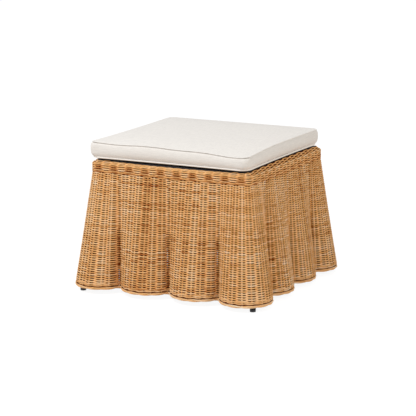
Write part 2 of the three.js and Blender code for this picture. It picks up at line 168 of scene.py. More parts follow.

# Painted shade where strands sink behind a stake, and how they spread there; then painted shade and a painted
# highlight beside a valley
SUNK_PAINTED_SHADE = 1.05
SUNK_SPREAD = 0.42
VALLEY_SHADE = 5 * MM
VALLEY_PAINTED_SHADE = 0.3
VALLEY_DOT = 3 * MM
BEHIND_RIB_PAINTED_SHADE = 0.85
VALLEY_PAINTED_HIGHLIGHT = 0.15

# The rings of a pole: how far apart, how far each reaches, and how dark it is; and how much painted shade
# darkens the ribs
POLE_TONE = 0.62
RING_SPACES = (0.17, 0.29)
RING_SWELL = 0.25 * MM
RING_REACH = 7 * MM
RING_STAIN = 0.4
RING_STAIN_REACH = 3 * MM
RIB_POLE_PAINTED_SHADE = 0.6

# The poles, as the frame has them
LEG_RADIUS = 11 * MM
LEG_FOOT_HALF = 284.96 * MM
LEG_HEAD_HALF = 248.86 * MM
RAIL_RADIUS = 11 * MM
RAIL_HALF = -(RAIL_LOW.y + RAIL_HIGH.y) / 2
RAIL_REACH = 232 * MM
RIB_RADIUS = 4.5 * MM
RIB_FOOT_HALF = 260.36 * MM
RIB_HEAD_HALF = 257.3 * MM
HOOP_RADIUS = 6 * MM
HOOP_BEHIND_RIB = 10.8 * MM
HOOP_STRAIGHT = 180.5 * MM
HOOP_HANDLE = 0.38
FIT = 0.3 * MM
LEAST_COPE = 6 * MM
POLE_FACETS = 24

# The peel of the lashings
PEEL_WIDTH = 3.2 * MM
PEEL_DEPTH = 0.8 * MM
PEEL_PITCH = 3.35 * MM
BINDING_HALF = 8.6 * MM

# Battens, glides, and the turned heads of screws and nails in millimetres
ARRIS = 1.2 * MM
GLIDE_RECESS = 10.4 * MM
GLIDE_RECESS_DEPTH = 4.9 * MM
SCREW_HEAD = ((0.4, -0.7), (3.4, -0.69), (3.5, -0.1), (3.3, 0.08), (2.2, 0.17), (0.3, 0.22))
SCREW_ROWS = (-190 * MM, 0, 190 * MM)
NAIL_RADII = (0.4, 2.2, 3.6, 4.3, 4.5, 4.4, 1.6, 1.6, 0.3)
NAIL_HEIGHTS = (0, 0.12, 0.5, 1.0, 1.5, 1.98, 2.0)

# The cushion, as the frame has it
CUSHION_MIDDLE = Vector((-7 * MM, -2 * MM, 0))
CUSHION_HALF = RIM_HALF - 5 * MM
CUSHION_CORNER = 26 * MM
LOWER_CORNER = 28 * MM
LOWER_SEAM = DECK_TOP + 9.6 * MM
UPPER_SEAM = DECK_TOP + 53.5 * MM
BOXING_BELLY = 3.5 * MM
SIDE_DRAW = 5 * MM
CROWN = ((0, 1), (0.55, 0.97), (0.82, 0.8), (0.93, 0.52), (1, 0))
UNDER_ROWS = ((224 * MM, COVER_LOW.z), (238 * MM, COVER_LOW.z + 2.2 * MM), (251 * MM, COVER_LOW.z + 5.5 * MM))

# How the cushion's seams pinch, sag and pucker, and what the cloth simulation holds
LOWER_DRAW = 2 * MM
SEAM_PINCH = 7 * MM
UPPER_ROWS = ((-SEAM_PINCH, 0), (1.4 * MM, 1.8 * MM), (-0.6 * MM, 3.6 * MM))
PINCHED_ROW = -3
SIDE_LOOSENING = 5 * MM
SAG_DEPTH = 7.5 * MM
SAG_REACH = 120 * MM
SAG_SHARES = (0.8, -1.0)
SEAM_WAVE = 1.3 * MM
PUCKER_DEPTH = 0.25 * MM
PUCKER_REACH = 7 * MM
HELD_MARGIN = 14 * MM
HELD_BESIDE_SEAM = 3.4 * MM
CLOTH_PRESSURE = 4
CLOTH_STEPS = 20
THREAD = 1.3 * MM
COVER_INSET = 2 * MM
FOAM_INSET = 9 * MM
FOAM_CELLS = 60

# The lower seam's half width, corner and height, and how far its piping lies from each
LOWER_EDGE = (CUSHION_HALF - LOWER_DRAW, LOWER_CORNER, LOWER_SEAM)
PIPING_OFFSET = (-2.5 * MM, 4 * MM, -0.6 * MM)

# The zip: how deep its strip lies, the strip's thickness, and the coil
ZIP_DEPTH = 1.6 * MM
STRIP_THICKNESS = 1 * MM
COIL_MARGIN = 3 * MM
COIL_PITCH = 1.4 * MM
COIL_HALF = 1.45 * MM
COIL_RADIUS = 0.55 * MM
COIL_LIFT = 0.95 * MM

# The stage: the photograph's view, the lamps, and the floor's shadow
VIEW_TURN = math.radians(26.43)
VIEW_RISE = math.radians(11.98)
VIEW_MIDDLE = Vector((-1.85 * MM, -1.39 * MM, 228 * MM))
VIEW_DISTANCE = 5.745
LENS = 160.87
LAMPS = (
    ("key_lamp", 60, 1.6, (-1.15, -1.82, 2.98), (1, 1, 1)),
    ("fill_lamp", 22, 2.2, (2.6, -0.9, 1.6), (1, 0.93, 0.82)),
)
LAMP_AIM = Vector((0, 0, 0.25))
# A square under the footstool where the floor's glow fades out: a painted shadow
SHADOW_HALF = 0.13
SHADOW_FADE = (0.03, 0.09)
FLOOR_GLOW = 0.92


# Arithmetic on rows of points


def lerp(first, last, part):
    return first + (last - first) * part


def unit(vectors):
    return vectors / np.linalg.norm(vectors, axis=-1, keepdims=True)


def smooth(part):
    part = np.clip(part, 0, 1)
    return part * part * (3 - 2 * part)


def bell(share):
    """1 at nought, and less the further from it."""
    return np.exp(-(share**2))


def quarter_turn(points, count):
    """Points turned about the upright axis by a number of quarter turns, from the front to their own side."""
    x, y, z = points[..., 0], points[..., 1], points[..., 2]
    for _ in range(count):
        x, y = -y, x
    return np.stack((x, y, z), -1)


def inward_of(run):
    """The direction behind a wall, from its run in plan."""
    return np.stack((-run[..., 1], run[..., 0]), -1)


def closed_forward(paths):
    """The direction of closed paths at each of their points."""
    return unit(np.roll(paths, -1, 1) - np.roll(paths, 1, 1))


# Meshes from strands


def tubes(centres, first, second, tone, facets=6, closed=False):
    """Closed tubes through rows of points, whose section has these two half axes at each point."""
    rows, steps, _ = centres.shape
    forward = np.diff(centres, axis=1)
    if (np.cross(first, second)[:, :-1] * forward).sum() < 0:
        first, second = second, first
    turn = 2 * math.pi * (np.arange(facets) + 0.5) / facets
    ring = first[:, :, None] * np.cos(turn)[:, None] + second[:, :, None] * np.sin(turn)[:, None]
    points = centres[:, :, None] + ring
    spans = steps if closed else steps - 1
    row, step, facet = np.meshgrid(np.arange(rows), np.arange(spans), np.arange(facets), indexing="ij")
    start = row * steps * facets
    here = start + step * facets
    there = start + (step + 1) % steps * facets
    beside = (facet + 1) % facets
    quads = np.stack((here + facet, here + beside, there + beside, there + facet), -1)
    looped = np.concatenate((forward, centres[:, :1] - centres[:, -1:]), 1)
    length = np.cumsum(np.linalg.norm(looped, axis=-1), 1)
    length = np.concatenate((np.zeros((rows, 1)), length), 1) + STRAND_SHIFT * np.arange(rows)[:, None]
    width = math.pi * (np.linalg.norm(first[0, 0]) + np.linalg.norm(second[0, 0])) / facets
    begin = length[row, step]
    end = length[row, step + 1]
    low = width * facet
    uv = np.stack((begin, low, begin, low + width, end, low + width, end, low), -1).reshape(-1, 2)
    caps = []
    if not closed:
        loop = np.arange(facets)
        first_ring = np.arange(rows)[:, None] * steps * facets
        caps = [first_ring + loop[::-1], first_ring + (steps - 1) * facets + loop]
    tone = np.broadcast_to(tone, (rows, steps))
    return {
        "points": points.reshape(-1, 3),
        "quads": quads.reshape(-1, 4),
        "caps": np.concatenate(caps) if caps else np.zeros((0, facets), int),
        "uv": uv,
        "tone": np.repeat(tone.reshape(-1), facets),
    }


def fill(items, key, values, kind=np.float32):
    items.foreach_set(key, np.asarray(values, kind).reshape(-1))


def linked(name, data):
    """A new object with this data, in the scene."""
    made = bpy.data.objects.new(name, data)
    bpy.context.scene.collection.objects.link(made)
    return made


def settle(made, body, slot, *nodes):
    """Says which body a piece rides on and which nodes it replaces. Its slot is not used."""
    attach(made, body)
    if nodes:
        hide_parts(*nodes)


def piece(name, parts, material, turns=0):
    """One object from parts, turned to its side, with a strand UV map and a tone attribute."""
    points = quarter_turn(np.concatenate([part["points"] for part in parts]), turns)
    corners, sizes, uv, flat = [], [], [], []
    offset = 0
    for part in parts:
        for faces, cap in ((part["quads"], False), (part["caps"], True)):
            corners.append((faces + offset).reshape(-1))
            sizes.append(np.full(len(faces), faces.shape[1]))
            uv.append(np.zeros((faces.size, 2)) if cap else part["uv"])
            flat.append(np.full(len(faces), cap))
        offset += len(part["points"])
    corners, sizes = np.concatenate(corners), np.concatenate(sizes)
    mesh = bpy.data.meshes.new(name)
    mesh.vertices.add(len(points))
    fill(mesh.vertices, "co", points)
    mesh.loops.add(len(corners))
    fill(mesh.loops, "vertex_index", corners, np.int32)
    mesh.polygons.add(len(sizes))
    fill(mesh.polygons, "loop_start", np.cumsum(sizes) - sizes, np.int32)
    fill(mesh.polygons, "use_smooth", ~np.concatenate(flat), bool)
    mesh.update(calc_edges=True)
    fill(mesh.uv_layers.new(name="strand").data, "uv", np.concatenate(uv))
    tone = np.concatenate([part["tone"] for part in parts])
    fill(mesh.attributes.new("tone", "FLOAT", "POINT").data, "value", tone)
    mesh.materials.append(material)
    return linked(name, mesh)


def strands(wall, along, travel, depth, notch, half_width, half_depth, tone, facets=6):
    """Strands laid in a woven wall, by rows of places: share along it, way up it, depth behind its face."""
    along, travel, depth, notch = np.broadcast_arrays(along, travel, depth, notch)
    centres = wall(along, travel, depth, notch)
    forward = unit(np.gradient(centres, axis=1))
    inward = wall(along, travel, depth + NUDGE, notch) - centres
    inward = unit(inward - (inward * forward).sum(-1, keepdims=True) * forward)
    across = np.cross(forward, inward) / math.cos(math.pi / facets)
    return tubes(centres, across * np.asarray(half_width)[..., None], inward * half_depth, tone, facets)


def pole(path, radius, tone=0.5, facets=24):
    """A round pole along a path of points, as thick at each as radius says."""
    path = np.asarray(path, float)
    forward = unit(np.gradient(path, axis=0))
    sideways = np.array((0.0, 0.0, 1.0)) if abs(forward[:, 2]).max() < 0.7 else np.array((1.0, 0.0, 0.0))
    first = unit(np.cross(forward, sideways))
    second = np.cross(forward, first)
    radius = np.broadcast_to(radius, len(path))[:, None]
    return tubes(path[None], (first * radius)[None], (second * radius)[None], tone, facets)


# Plan lines: a share along one gives its place, and its run, which is its direction times its length


def straight(start, end):
    start, end = np.array(start), np.array(end)

    def at(part):
        part = np.asarray(part, float)[..., None]
        return lerp(start, end, part), np.broadcast_to(end - start, (*part.shape[:-1], 2))

    return at


def arc(start, end, bulge):
    start, end = np.array(start), np.array(end)
    chord = np.linalg.norm(end - start)
    radius = (chord * chord / 4 + bulge * bulge) / (2 * bulge)
    along = (end - start) / chord
    centre = (start + end) / 2 + np.array((along[1], -along[0])) * (bulge - radius)
    first = math.atan2(start[1] - centre[1], start[0] - centre[0])
    last = math.atan2(end[1] - centre[1], end[0] - centre[0])
    if last < first:
        last += 2 * math.pi

    def at(part):
        angle = lerp(first, last, np.asarray(part, float))
        spoke = np.stack((np.cos(angle), np.sin(angle)), -1)
        run = np.stack((-np.sin(angle), np.cos(angle)), -1) * radius * (last - first)
        return centre + radius * spoke, run

    return at


def end_to_end(lines):
    """Plan lines joined into one, with equal shares of the whole length."""
    lengths = np.array([np.linalg.norm(line(0.5)[1]) for line in lines])
    shares = lengths / lengths.sum()
    ends = np.cumsum(shares)

    def at(part):
        part = np.asarray(part, float)
        place, run = lines[0](np.clip(part / shares[0], 0, 1))
        run = run / shares[0]
        for line, share, end in zip(lines[1:], shares[1:], ends[1:]):
            later, later_run = line(np.clip((part - end + share) / share, 0, 1))
            beyond = (part > end - share)[..., None]
            place = np.where(beyond, later, place)
            run = np.where(beyond, later_run / share, run)
        return place, run

    return at


def side_lobe(first_x):
    last_x = first_x + VALLEY_PITCH
    edge = straight((first_x, -SKIRT_HALF), (last_x, -SKIRT_HALF))
    hem = arc((first_x, -HEM_VALLEY_HALF), (last_x, -HEM_VALLEY_HALF), LOBE_BULGE)
    return edge, hem, (FRONT_FACE, FRONT_FACE)


def corner_lobe():
    radius = RIM_CORNER - SKIRT_SETBACK
    quarter_bulge = radius * (1 - math.sqrt(0.5))
    edge = end_to_end(
        [
            straight((VALLEY_PITCH, -SKIRT_HALF), (CORNER_CENTRE, -SKIRT_HALF)),
            arc((CORNER_CENTRE, -SKIRT_HALF), (SKIRT_HALF, -CORNER_CENTRE), quarter_bulge),
            straight((SKIRT_HALF, -CORNER_CENTRE), (SKIRT_HALF, -VALLEY_PITCH)),
        ]
    )
    start, end = (VALLEY_PITCH, -HEM_VALLEY_HALF), (HEM_VALLEY_HALF, -VALLEY_PITCH)
    chord_reach = (VALLEY_PITCH + HEM_VALLEY_HALF) * math.sqrt(0.5)
    return edge, arc(start, end, CORNER_REACH - chord_reach), (FRONT_FACE, RIGHT_FACE)


def share_down(height):
    return (SKIRT_HIGH.z - height) / (SKIRT_HIGH.z - SKIRT_LOW.z)


def share_up(height):
    return 1 - share_down(height)


def run_at(edge, hem, along, down):
    return lerp(edge(along)[1], hem(along)[1], down)


def skirt_wall(edge, hem, faces):
    """The outer face of a lobe. Its two valleys are rounded, so that strands meet those of the next lobe."""
    side_edge, side_hem, _ = side_lobe(0)

    def wall(along, height, depth, notch):
        down = share_down(height)[..., None]
        run = unit(run_at(edge, hem, along, down))
        place = lerp(edge(along)[0], hem(along)[0], down) + depth[..., None] * inward_of(run)
        side_run = unit(run_at(side_edge, side_hem, 0, down))
        rise = notch / side_run[..., 0]
        for end, face in enumerate(faces):
            valley = lerp(edge(end)[0], hem(end)[0], down)
            end_run = run_at(edge, hem, end, down)
            length = np.linalg.norm(end_run, axis=-1)
            cosine = np.clip((end_run * face).sum(-1) / length, 0.01, 1)
            slope = np.arccos(cosine)
            radius = rise * cosine
            soft = radius * np.tan(slope) + 1e-9
            distance = np.abs(along - end) * length
            reach = radius + depth
            swing = slope * np.clip(distance / soft, 0, 1)
            inner = 1 - 2 * end
            bent = valley + (inner * reach * np.sin(swing))[..., None] * face
            bent = bent - (rise - reach * np.cos(swing))[..., None] * inward_of(face)
            place = np.where((distance < soft)[..., None], bent, place)
        return np.concatenate((place, height[..., None]), -1)

    return wall


def band_line():
    """The rim band's outer edge in plan, from the middle of one rounded corner to the middle of the next."""
    half_turn = RIM_CORNER * math.sqrt(0.5)
    bulge = RIM_CORNER * (1 - math.cos(math.pi / 8))
    left = (-CORNER_CENTRE - half_turn, -CORNER_CENTRE - half_turn)
    right = (CORNER_CENTRE + half_turn, -CORNER_CENTRE - half_turn)
    return end_to_end(
        [
            arc(left, (-CORNER_CENTRE, -RIM_HALF), bulge),
            straight((-CORNER_CENTRE, -RIM_HALF), (CORNER_CENTRE, -RIM_HALF)),
            arc((CORNER_CENTRE, -RIM_HALF), right, bulge),
        ]
    )


def band_profile():
    """The rim band's section, up its outside and over the deck's edge, as lengths, insets and heights."""
    angle = np.linspace(0, math.pi / 2, 7)
    inset = np.concatenate(([0], BAND_EDGE * (1 - np.cos(angle)), [place for place, _ in LIP_LAP]))
    round_height = RIM_TOP - BAND_EDGE + BAND_EDGE * np.sin(angle)
    height = np.concatenate(([BAND_LOW.z], round_height, [RIM_TOP + rise for _, rise in LIP_LAP]))
    length = np.concatenate(([0], np.cumsum(np.hypot(np.diff(inset), np.diff(height)))))
    return length, inset, height


def band_wall(lap):
    """The rim band's face, by share along it and way up it. lap says how high it laps between its corners."""
    length, insets, heights = band_profile()

    def wall(along, travel, depth, notch):
        inset, height = np.interp(travel, length, insets), np.interp(travel, length, heights)
        near = travel + 1.5 * MM * np.array((-1, 1))[:, None, None]
        inset_slope = np.diff(np.interp(near, length, insets), axis=0)[0]
        slope = np.diff(np.interp(near, length, heights), axis=0)[0]
        size = np.hypot(inset_slope, slope)
        height = height + (lap - 1) * np.sin(math.pi * along) * np.maximum(height - RIM_TOP, 0)
        inset = inset + depth * slope / size
        height = height - depth * inset_slope / size
        place, run = band_line()(along)
        return np.concatenate((place + inset[..., None] * inward_of(unit(run)), height[..., None]), -1)

    return wall


# Materials


def linear(colour):
    """The linear colour of an sRGB hex value."""
    parts = [int(colour[i : i + 2], 16) / 255 for i in (1, 3, 5)]
    return tuple(part / 12.92 if part <= 0.04045 else ((part + 0.055) / 1.055) ** 2.4 for part in parts)


def shaded(colour, factor):
    """A linear colour made darker or paler by a factor."""
    return tuple(min(factor * part, 1) for part in colour)


def add(tree, kind, inputs=None, **settings):
    """Adds a node with its settings, its inputs' values, and links from other nodes' outputs."""
    node = tree.nodes.new(kind)
    for name, value in settings.items():
        setattr(node, name, value)
    for name, value in (inputs or {}).items():
        socket = node.inputs[name]
        if isinstance(value, bpy.types.NodeSocket):
            tree.links.new(value, socket)
        elif socket.type == "RGBA" and len(value) == 3:
            socket.default_value = (*value, 1)
        else:
            socket.default_value = value
    return node


def emptied(owner):
    """The node tree of a material or world, with nothing in it."""
    owner.use_nodes = True
    owner.node_tree.nodes.clear()
    return owner.node_tree


def new_material(name, surface):
    """A material whose surface is a Principled shader with these inputs. surface gets the node tree."""
    material = bpy.data.materials.new(name)
    tree = emptied(material)
    shader = add(tree, "ShaderNodeBsdfPrincipled", surface(tree))
    add(tree, "ShaderNodeOutputMaterial", {"Surface": shader.outputs[0]})
    return material


def rattan(name, tones, fibre, roughness):
    """Rattan: pores and fibres run along each strand, whose own tone comes from its tone attribute.
    Its skin is dry, with no gloss."""
    fibres = (14 * MM, fibre, 3, 0.8)
    blotches = (45 * MM, 30 * MM, 2, 0.3)

    def surface(tree):
        strand = add(tree, "ShaderNodeUVMap", uv_map="strand").outputs[0]
        mixed = add(tree, "ShaderNodeAttribute", attribute_name="tone").outputs["Fac"]
        noises = []
        for length, width, detail, share in (fibres, blotches):
            stretch = add(tree, "ShaderNodeMapping", {0: strand, "Scale": (1 / length, 1 / width, 1)})
            noise = add(tree, "ShaderNodeTexNoise", {0: stretch.outputs[0], "Scale": 1, "Detail": detail})
            change = add(tree, "ShaderNodeMath", {0: noise.outputs[0], 1: 0.5}, operation="SUBTRACT")
            terms = {0: change.outputs[0], 1: share, 2: mixed}
            mixed = add(tree, "ShaderNodeMath", terms, operation="MULTIPLY_ADD").outputs[0]
            noises.append(noise.outputs[0])
        ramp = add(tree, "ShaderNodeValToRGB", {0: mixed})
        elements = ramp.color_ramp.elements
        while len(elements) < len(tones):
            elements.new(0.5)
        for element, (place, colour) in zip(elements, tones):
            element.position = place
            element.color = (*colour, 1)
        bump = add(tree, "ShaderNodeBump", {"Height": noises[0], "Distance": 0.12 * MM, "Strength": 0.5})
        return {
            "Base Color": ramp.outputs[0],
            "Roughness": roughness,
            "Specular IOR Level": 0.0,
            "Normal": bump.outputs[0],
        }

    return new_material(name, surface)


def mottled(name, light, dark, grain, roughness, bump, **fixed):
    """A finish with two close colours, mottled at a grain size, with a fine bump."""

    def surface(tree):
        place = add(tree, "ShaderNodeTexCoord").outputs["Object"]
        noise = add(tree, "ShaderNodeTexNoise", {0: place, "Scale": 1 / grain, "Detail": 3})
        mix = add(tree, "ShaderNodeMix", {0: noise.outputs[0], 6: dark, 7: light}, data_type="RGBA")
        lift = add(tree, "ShaderNodeBump", {"Height": noise.outputs[0], "Distance": bump, "Strength": 0.6})
        return {"Base Color": mix.outputs[2], "Roughness": roughness, "Normal": lift.outputs[0], **fixed}

    return new_material(name, surface)


def metal(name, light, dark, grain, roughness, bump):
    """A grey metal from two hex colours, which close by is mottled, as plated or drawn metal is."""
    return mottled(name, linear(light), linear(dark), grain, roughness, bump, Metallic=1.0)


def plain_weave_cloth(name, light, dark, thread):
    """Off-white cotton and linen plain weave: matt, a little fuzzy, with slubs where a thread runs thick.
    Threads are 0.6 mm apart on the real cover; they are drawn at the thread size given, so that they show."""
    slub_length = 25 * MM

    def surface(tree):
        place = add(tree, "ShaderNodeTexCoord").outputs["Object"]
        threads = {}
        for axis in (0, 1):
            scale = [1 / thread] * 3
            scale[axis] = 1 / slub_length
            stretch = add(tree, "ShaderNodeMapping", {0: place, "Scale": scale})
            noise = add(tree, "ShaderNodeTexNoise", {0: stretch.outputs[0], "Scale": 1, "Detail": 1})
            threads[axis] = noise.outputs[0]
        slub = add(tree, "ShaderNodeMath", threads, operation="ADD").outputs[0]
        tone = add(tree, "ShaderNodeMapRange", {0: slub, 1: 0.7, 2: 1.3})
        mix = add(tree, "ShaderNodeMix", {0: tone.outputs[0], 6: dark, 7: light}, data_type="RGBA")
        lift = add(tree, "ShaderNodeBump", {"Height": slub, "Distance": 0.25 * MM, "Strength": 0.5})
        return {
            "Base Color": mix.outputs[2],
            "Roughness": 0.95,
            "Sheen Weight": 0.15,
            "Sheen Roughness": 0.5,
            "Normal": lift.outputs[0],
        }

    return new_material(name, surface)


def wood(name, light, dark, ring, roughness):
    """Sawn softwood: bands of early and late wood run along the batten."""

    def surface(tree):
        place = add(tree, "ShaderNodeTexCoord").outputs["Object"]
        stretch = add(tree, "ShaderNodeMapping", {0: place, "Scale": (1 / ring, 1 / (90 * MM), 1 / ring)})
        wander = {0: stretch.outputs[0], "Scale": 1, "Detail": 4, "Distortion": 0.6}
        noise = add(tree, "ShaderNodeTexNoise", wander).outputs[0]
        bands = add(tree, "ShaderNodeMapRange", {0: noise, 1: 0.35, 2: 0.65})
        mix = add(tree, "ShaderNodeMix", {0: bands.outputs[0], 6: dark, 7: light}, data_type="RGBA")
        lift = add(tree, "ShaderNodeBump", {"Height": noise, "Distance": 0.2 * MM, "Strength": 0.5})
        return {"Base Color": mix.outputs[2], "Roughness": roughness, "Normal": lift.outputs[0]}

    return new_material(name, surface)


# Sizes and colours that a user would change


def colour_property(name, colour, description):
    return bpy.props.FloatVectorProperty(
        name=name, description=description, subtype="COLOR", size=3, min=0, max=1, default=linear(colour)
    )


def length_property(name, length, description):
    return bpy.props.FloatProperty(name=name, description=description, unit="LENGTH", default=length)


def count_property(name, count, least, description):
    return bpy.props.IntProperty(name=name, description=description, default=count, min=least)


class FootstoolWeave(bpy.types.PropertyGroup):
    """Sizes of the rattan weave."""

    row_pitch: length_property("Row pitch", 3.36 * MM, "Height of one woven row")
    weaver: length_property("Weaver", 3.4 * MM, "Height of a strand that runs round the skirt")
    weaver_depth: length_property("Weaver depth", 2.3 * MM, "Thickness of that strand, through the wall")
    stake: length_property("Stake", 5.0 * MM, "Width of a strand that runs from the rim to the hem")
    stake_depth: length_property("Stake depth", 2.6 * MM, "Thickness of that strand, through the wall")
    hem_strand: length_property("Hem strand", 4.2 * MM, "Thickness of the three strands of the hem's roll")
    hem_lay: length_property("Hem lay", 140 * MM, "Length in which a strand of the hem's roll turns once")
    side_spaces: count_property("Side spaces", 7, 3, "Spaces between stakes in a side lobe, an odd count")
    corner_spaces: count_property("Corner spaces", 10, 2, "Spaces between a corner's stakes, an even count")
    rim_spaces: count_property("Rim spaces", 20, 2, "Spaces between stakes on a side, an even count")
    seed: count_property("Seed", 7, 0, "Changes the small unevenness of the weave")


class FootstoolCushion(bpy.types.PropertyGroup):
    """Sizes of the loose cushion."""

    cell: length_property("Cloth cell", 5 * MM, "Size of the simulated cloth's cells")
    swell: length_property("Swell", 4 * MM, "Furthest that the filling may push the cloth")
    piping: length_property("Piping", 5.2 * MM, "Thickness of the piping in the lower seam")


class FootstoolColours(bpy.types.PropertyGroup):
    """Colours of the finishes."""

    rattan_dark: colour_property("Dark rattan", "#4a1505", "Strands that pass behind a stake, and pores")
    rattan_brown: colour_property("Brown rattan", "#a15422", "Strands half sunk behind a stake")
    rattan_warm: colour_property("Warm rattan", "#f1b976", "Common strands")
    rattan_pale: colour_property("Pale rattan", "#ffecce", "Palest strands and stakes")
    pole_dark: colour_property("Dark pole", "#7a4d26", "Rings and pores of the poles")
    pole_pale: colour_property("Pale pole", "#c99f6d", "Skin of the poles")
    cloth: colour_property("Cloth", "#f3efea", "Cushion cover")
    board: colour_property("Board", "#17161a", "Painted seat deck and glides")
    softwood: colour_property("Softwood", "#d6b27d", "Battens under the deck")


# Weave


def woven_rattan(context):
    """The rattan of the weave and the peel, made once."""
    found = bpy.data.materials.get("woven_rattan_core")
    colours = context.scene.footstool_colours
    shades = (colours.rattan_dark, colours.rattan_brown, colours.rattan_warm, colours.rattan_pale)
    stops = tuple(zip((0.0, 0.26, 0.55, 0.95), shades))
    return found or rattan("woven_rattan_core", stops, 0.7 * MM, 0.6)


def stake_shares(spaces, rng):
    """Places of the stakes along a wall. Wide and narrow spaces take turns, and no two are quite alike."""
    alternation = STAKE_ALTERNATION * np.where(np.arange(spaces) % 2, 1, -1)
    widths = 1 + alternation + STAKE_SCATTER * rng.standard_normal(spaces)
    return np.concatenate(([0], np.cumsum(widths) / widths.sum()))


def sample_places(spaces):
    """Where a strand's path has points, counted in spaces: seven to a space, and more beside a valley."""
    inner = np.arange(1, spaces - 1, 1 / 7)
    first = np.array((0, 0.04, 0.085, 0.13, 0.21, 0.35, 0.5, 0.65, 0.82))
    return np.concatenate((first, inner, spaces - first[::-1]))


def row_tones(rows, steps, rng):
    """A tone for each woven strand, and a change of tone in the few rows where a new strand begins."""
    tone = ROW_TONE + ROW_SCATTER * rng.standard_normal(rows)
    tone[rng.random(rows) < DARK_ROW_SHARE] -= DARK_ROW_DROP
    tone = np.repeat(tone[:, None], steps, 1)
    for row in np.nonzero(rng.random(rows) < NEW_STRAND_SHARE)[0]:
        tone[row, rng.integers(steps) :] += NEW_STRAND_CHANGE * rng.standard_normal()
    return np.clip(tone, 0.02, 0.98)


def column_tones(place, spaces, up, rng):
    """The finish runs a little darker or paler down each stake, and changes slowly on its way."""
    top, bottom = COLUMN_CHANGE * rng.standard_normal((2, spaces + 1))
    stake = np.arange(spaces + 1)
    return lerp(np.interp(place, stake, bottom), np.interp(place, stake, top), up)


def rib_clearance(height):
    """How far the front of a valley's rib lies behind the valley's line."""
    return lerp(SKIRT_HALF, HEM_VALLEY_HALF, share_down(height)) - rib_half(height) - RIB_RADIUS


def sunk_share(depth, front_depth, back_depth, start=0.56):
    """Where a strand passes behind a stake, from 0 to 1. Its tone is darkened there as painted shade."""
    return smooth(((depth - front_depth) / (back_depth - front_depth) - start) / 0.3)


def woven_rows(wall, spaces, shares, parity, weave, rng):
    """The rows of the skirt. Each strand passes before one stake and behind the next, row about."""
    half = weave.weaver / 2
    thin = weave.weaver_depth / 2
    back_depth = thin + weave.weaver_depth + weave.stake_depth
    count = int((SKIRT_HIGH.z - half - FIRST_ROW) / weave.row_pitch) + 1
    uneven = ROW_UNEVENNESS * np.random.default_rng(weave.seed).standard_normal(count)
    height = (FIRST_ROW + weave.row_pitch * np.arange(count) + uneven)[:, None]
    place = sample_places(spaces)
    along = np.interp(place, np.arange(spaces + 1), shares)
    order = np.arange(count)[:, None] + parity
    wave = ROW_WAVE * np.sin(math.pi * along) * np.sin(2 * math.pi * (along + rng.random((count, 1))))
    travel = height + wave

    in_first_half = place < spaces / 2
    behind_rib = np.where(in_first_half, order % 2 == 1, (order + spaces) % 2 == 1)
    clear = rib_clearance(height)
    joined_depth = np.clip(clear - thin, *JOINED_DEPTHS)
    dived_depth = clear + 2 * RIB_RADIUS + thin
    valley_depth = np.where(height < OPEN_VALLEY_HEIGHT, dived_depth, joined_depth)
    valley_depth = np.where(behind_rib, valley_depth, thin)

    from_valley = np.minimum(place, spaces - place)
    late = 0.5 + 0.5 * smooth((from_valley - 0.25) / 0.75)
    swing = np.where(in_first_half, 1, -1) * (np.where(from_valley < 1, late, from_valley) - from_valley)
    front = np.cos(math.pi * (place + swing + order))
    depth = (thin + back_depth) / 2 - (back_depth - thin) / 2 * front
    face = wall(along, travel, 0 * travel, 0 * travel)
    gone = np.cumsum(np.linalg.norm(np.diff(face, axis=1, prepend=face[:, :1]), axis=-1), 1)
    distance = np.minimum(gone, gone[:, -1:] - gone)
    depth = lerp(depth, valley_depth, bell(distance / VALLEY_DIVE))

    # Strands that sink behind a stake are darkened: painted shade
    tone = row_tones(count, len(place), rng) - SUNK_PAINTED_SHADE * sunk_share(depth, thin, back_depth)
    tone = tone + column_tones(place, spaces, share_up(height), rng)
    # Painted shade near a valley where it opens low down, and on strands that dive behind the rib at every
    # height; a painted highlight on strands that cross in front of the rib low down
    opened = smooth((OPEN_VALLEY_HEIGHT + OPENING_REACH - height) / (2 * OPENING_REACH))
    tone = tone - VALLEY_PAINTED_SHADE * opened * bell(distance / VALLEY_SHADE)
    tone = tone + np.where(behind_rib, -BEHIND_RIB_PAINTED_SHADE, VALLEY_PAINTED_HIGHLIGHT * opened) * bell(distance / VALLEY_DOT)
    spread = 1 + SUNK_SPREAD * smooth((depth - thin) / (back_depth - thin))
    return strands(wall, along, travel, depth, ROW_NOTCH, half * spread, thin, tone)


def woven_stakes(wall, spaces, shares, weave, rng):
    """The stakes of the skirt, which fan out from the rim to the hem."""
    steps = 36
    height = np.linspace(HEM_ROLL_MIDDLE, SKIRT_HIGH.z, steps)
    lean = STAKE_LEAN * rng.standard_normal((spaces - 1, 1)) * np.sin(np.linspace(0, 2 * math.pi, steps))
    along = shares[1:-1, None] + lean
    depth = weave.weaver_depth + weave.stake_depth / 2 + np.zeros((spaces - 1, steps))
    tone = STAKE_TONE + STRAND_SCATTER * rng.standard_normal((spaces - 1, 1))
    return strands(wall, along, height, depth, 0, weave.stake / 2, weave.stake_depth / 2, tone)


def twined_row(wall, spaces, shares, parity, height, rng):
    """Two strands that twist round each other between the stakes."""
    place = sample_places(spaces)
    along = np.interp(place, np.arange(spaces + 1), shares)[None] + np.zeros((2, 1))
    phase = math.pi * (place + parity + np.array((0, 1))[:, None])
    depth = TWINED_DEPTH - TWINED_SWING * np.cos(phase)
    travel = height + TWINED_RISE * np.sin(phase)
    tone = TWINED_TONE + STRAND_SCATTER * rng.standard_normal((2, 1))
    return strands(wall, along, travel, depth, TWINED_NOTCH, 1.4 * MM, 1.35 * MM, tone)


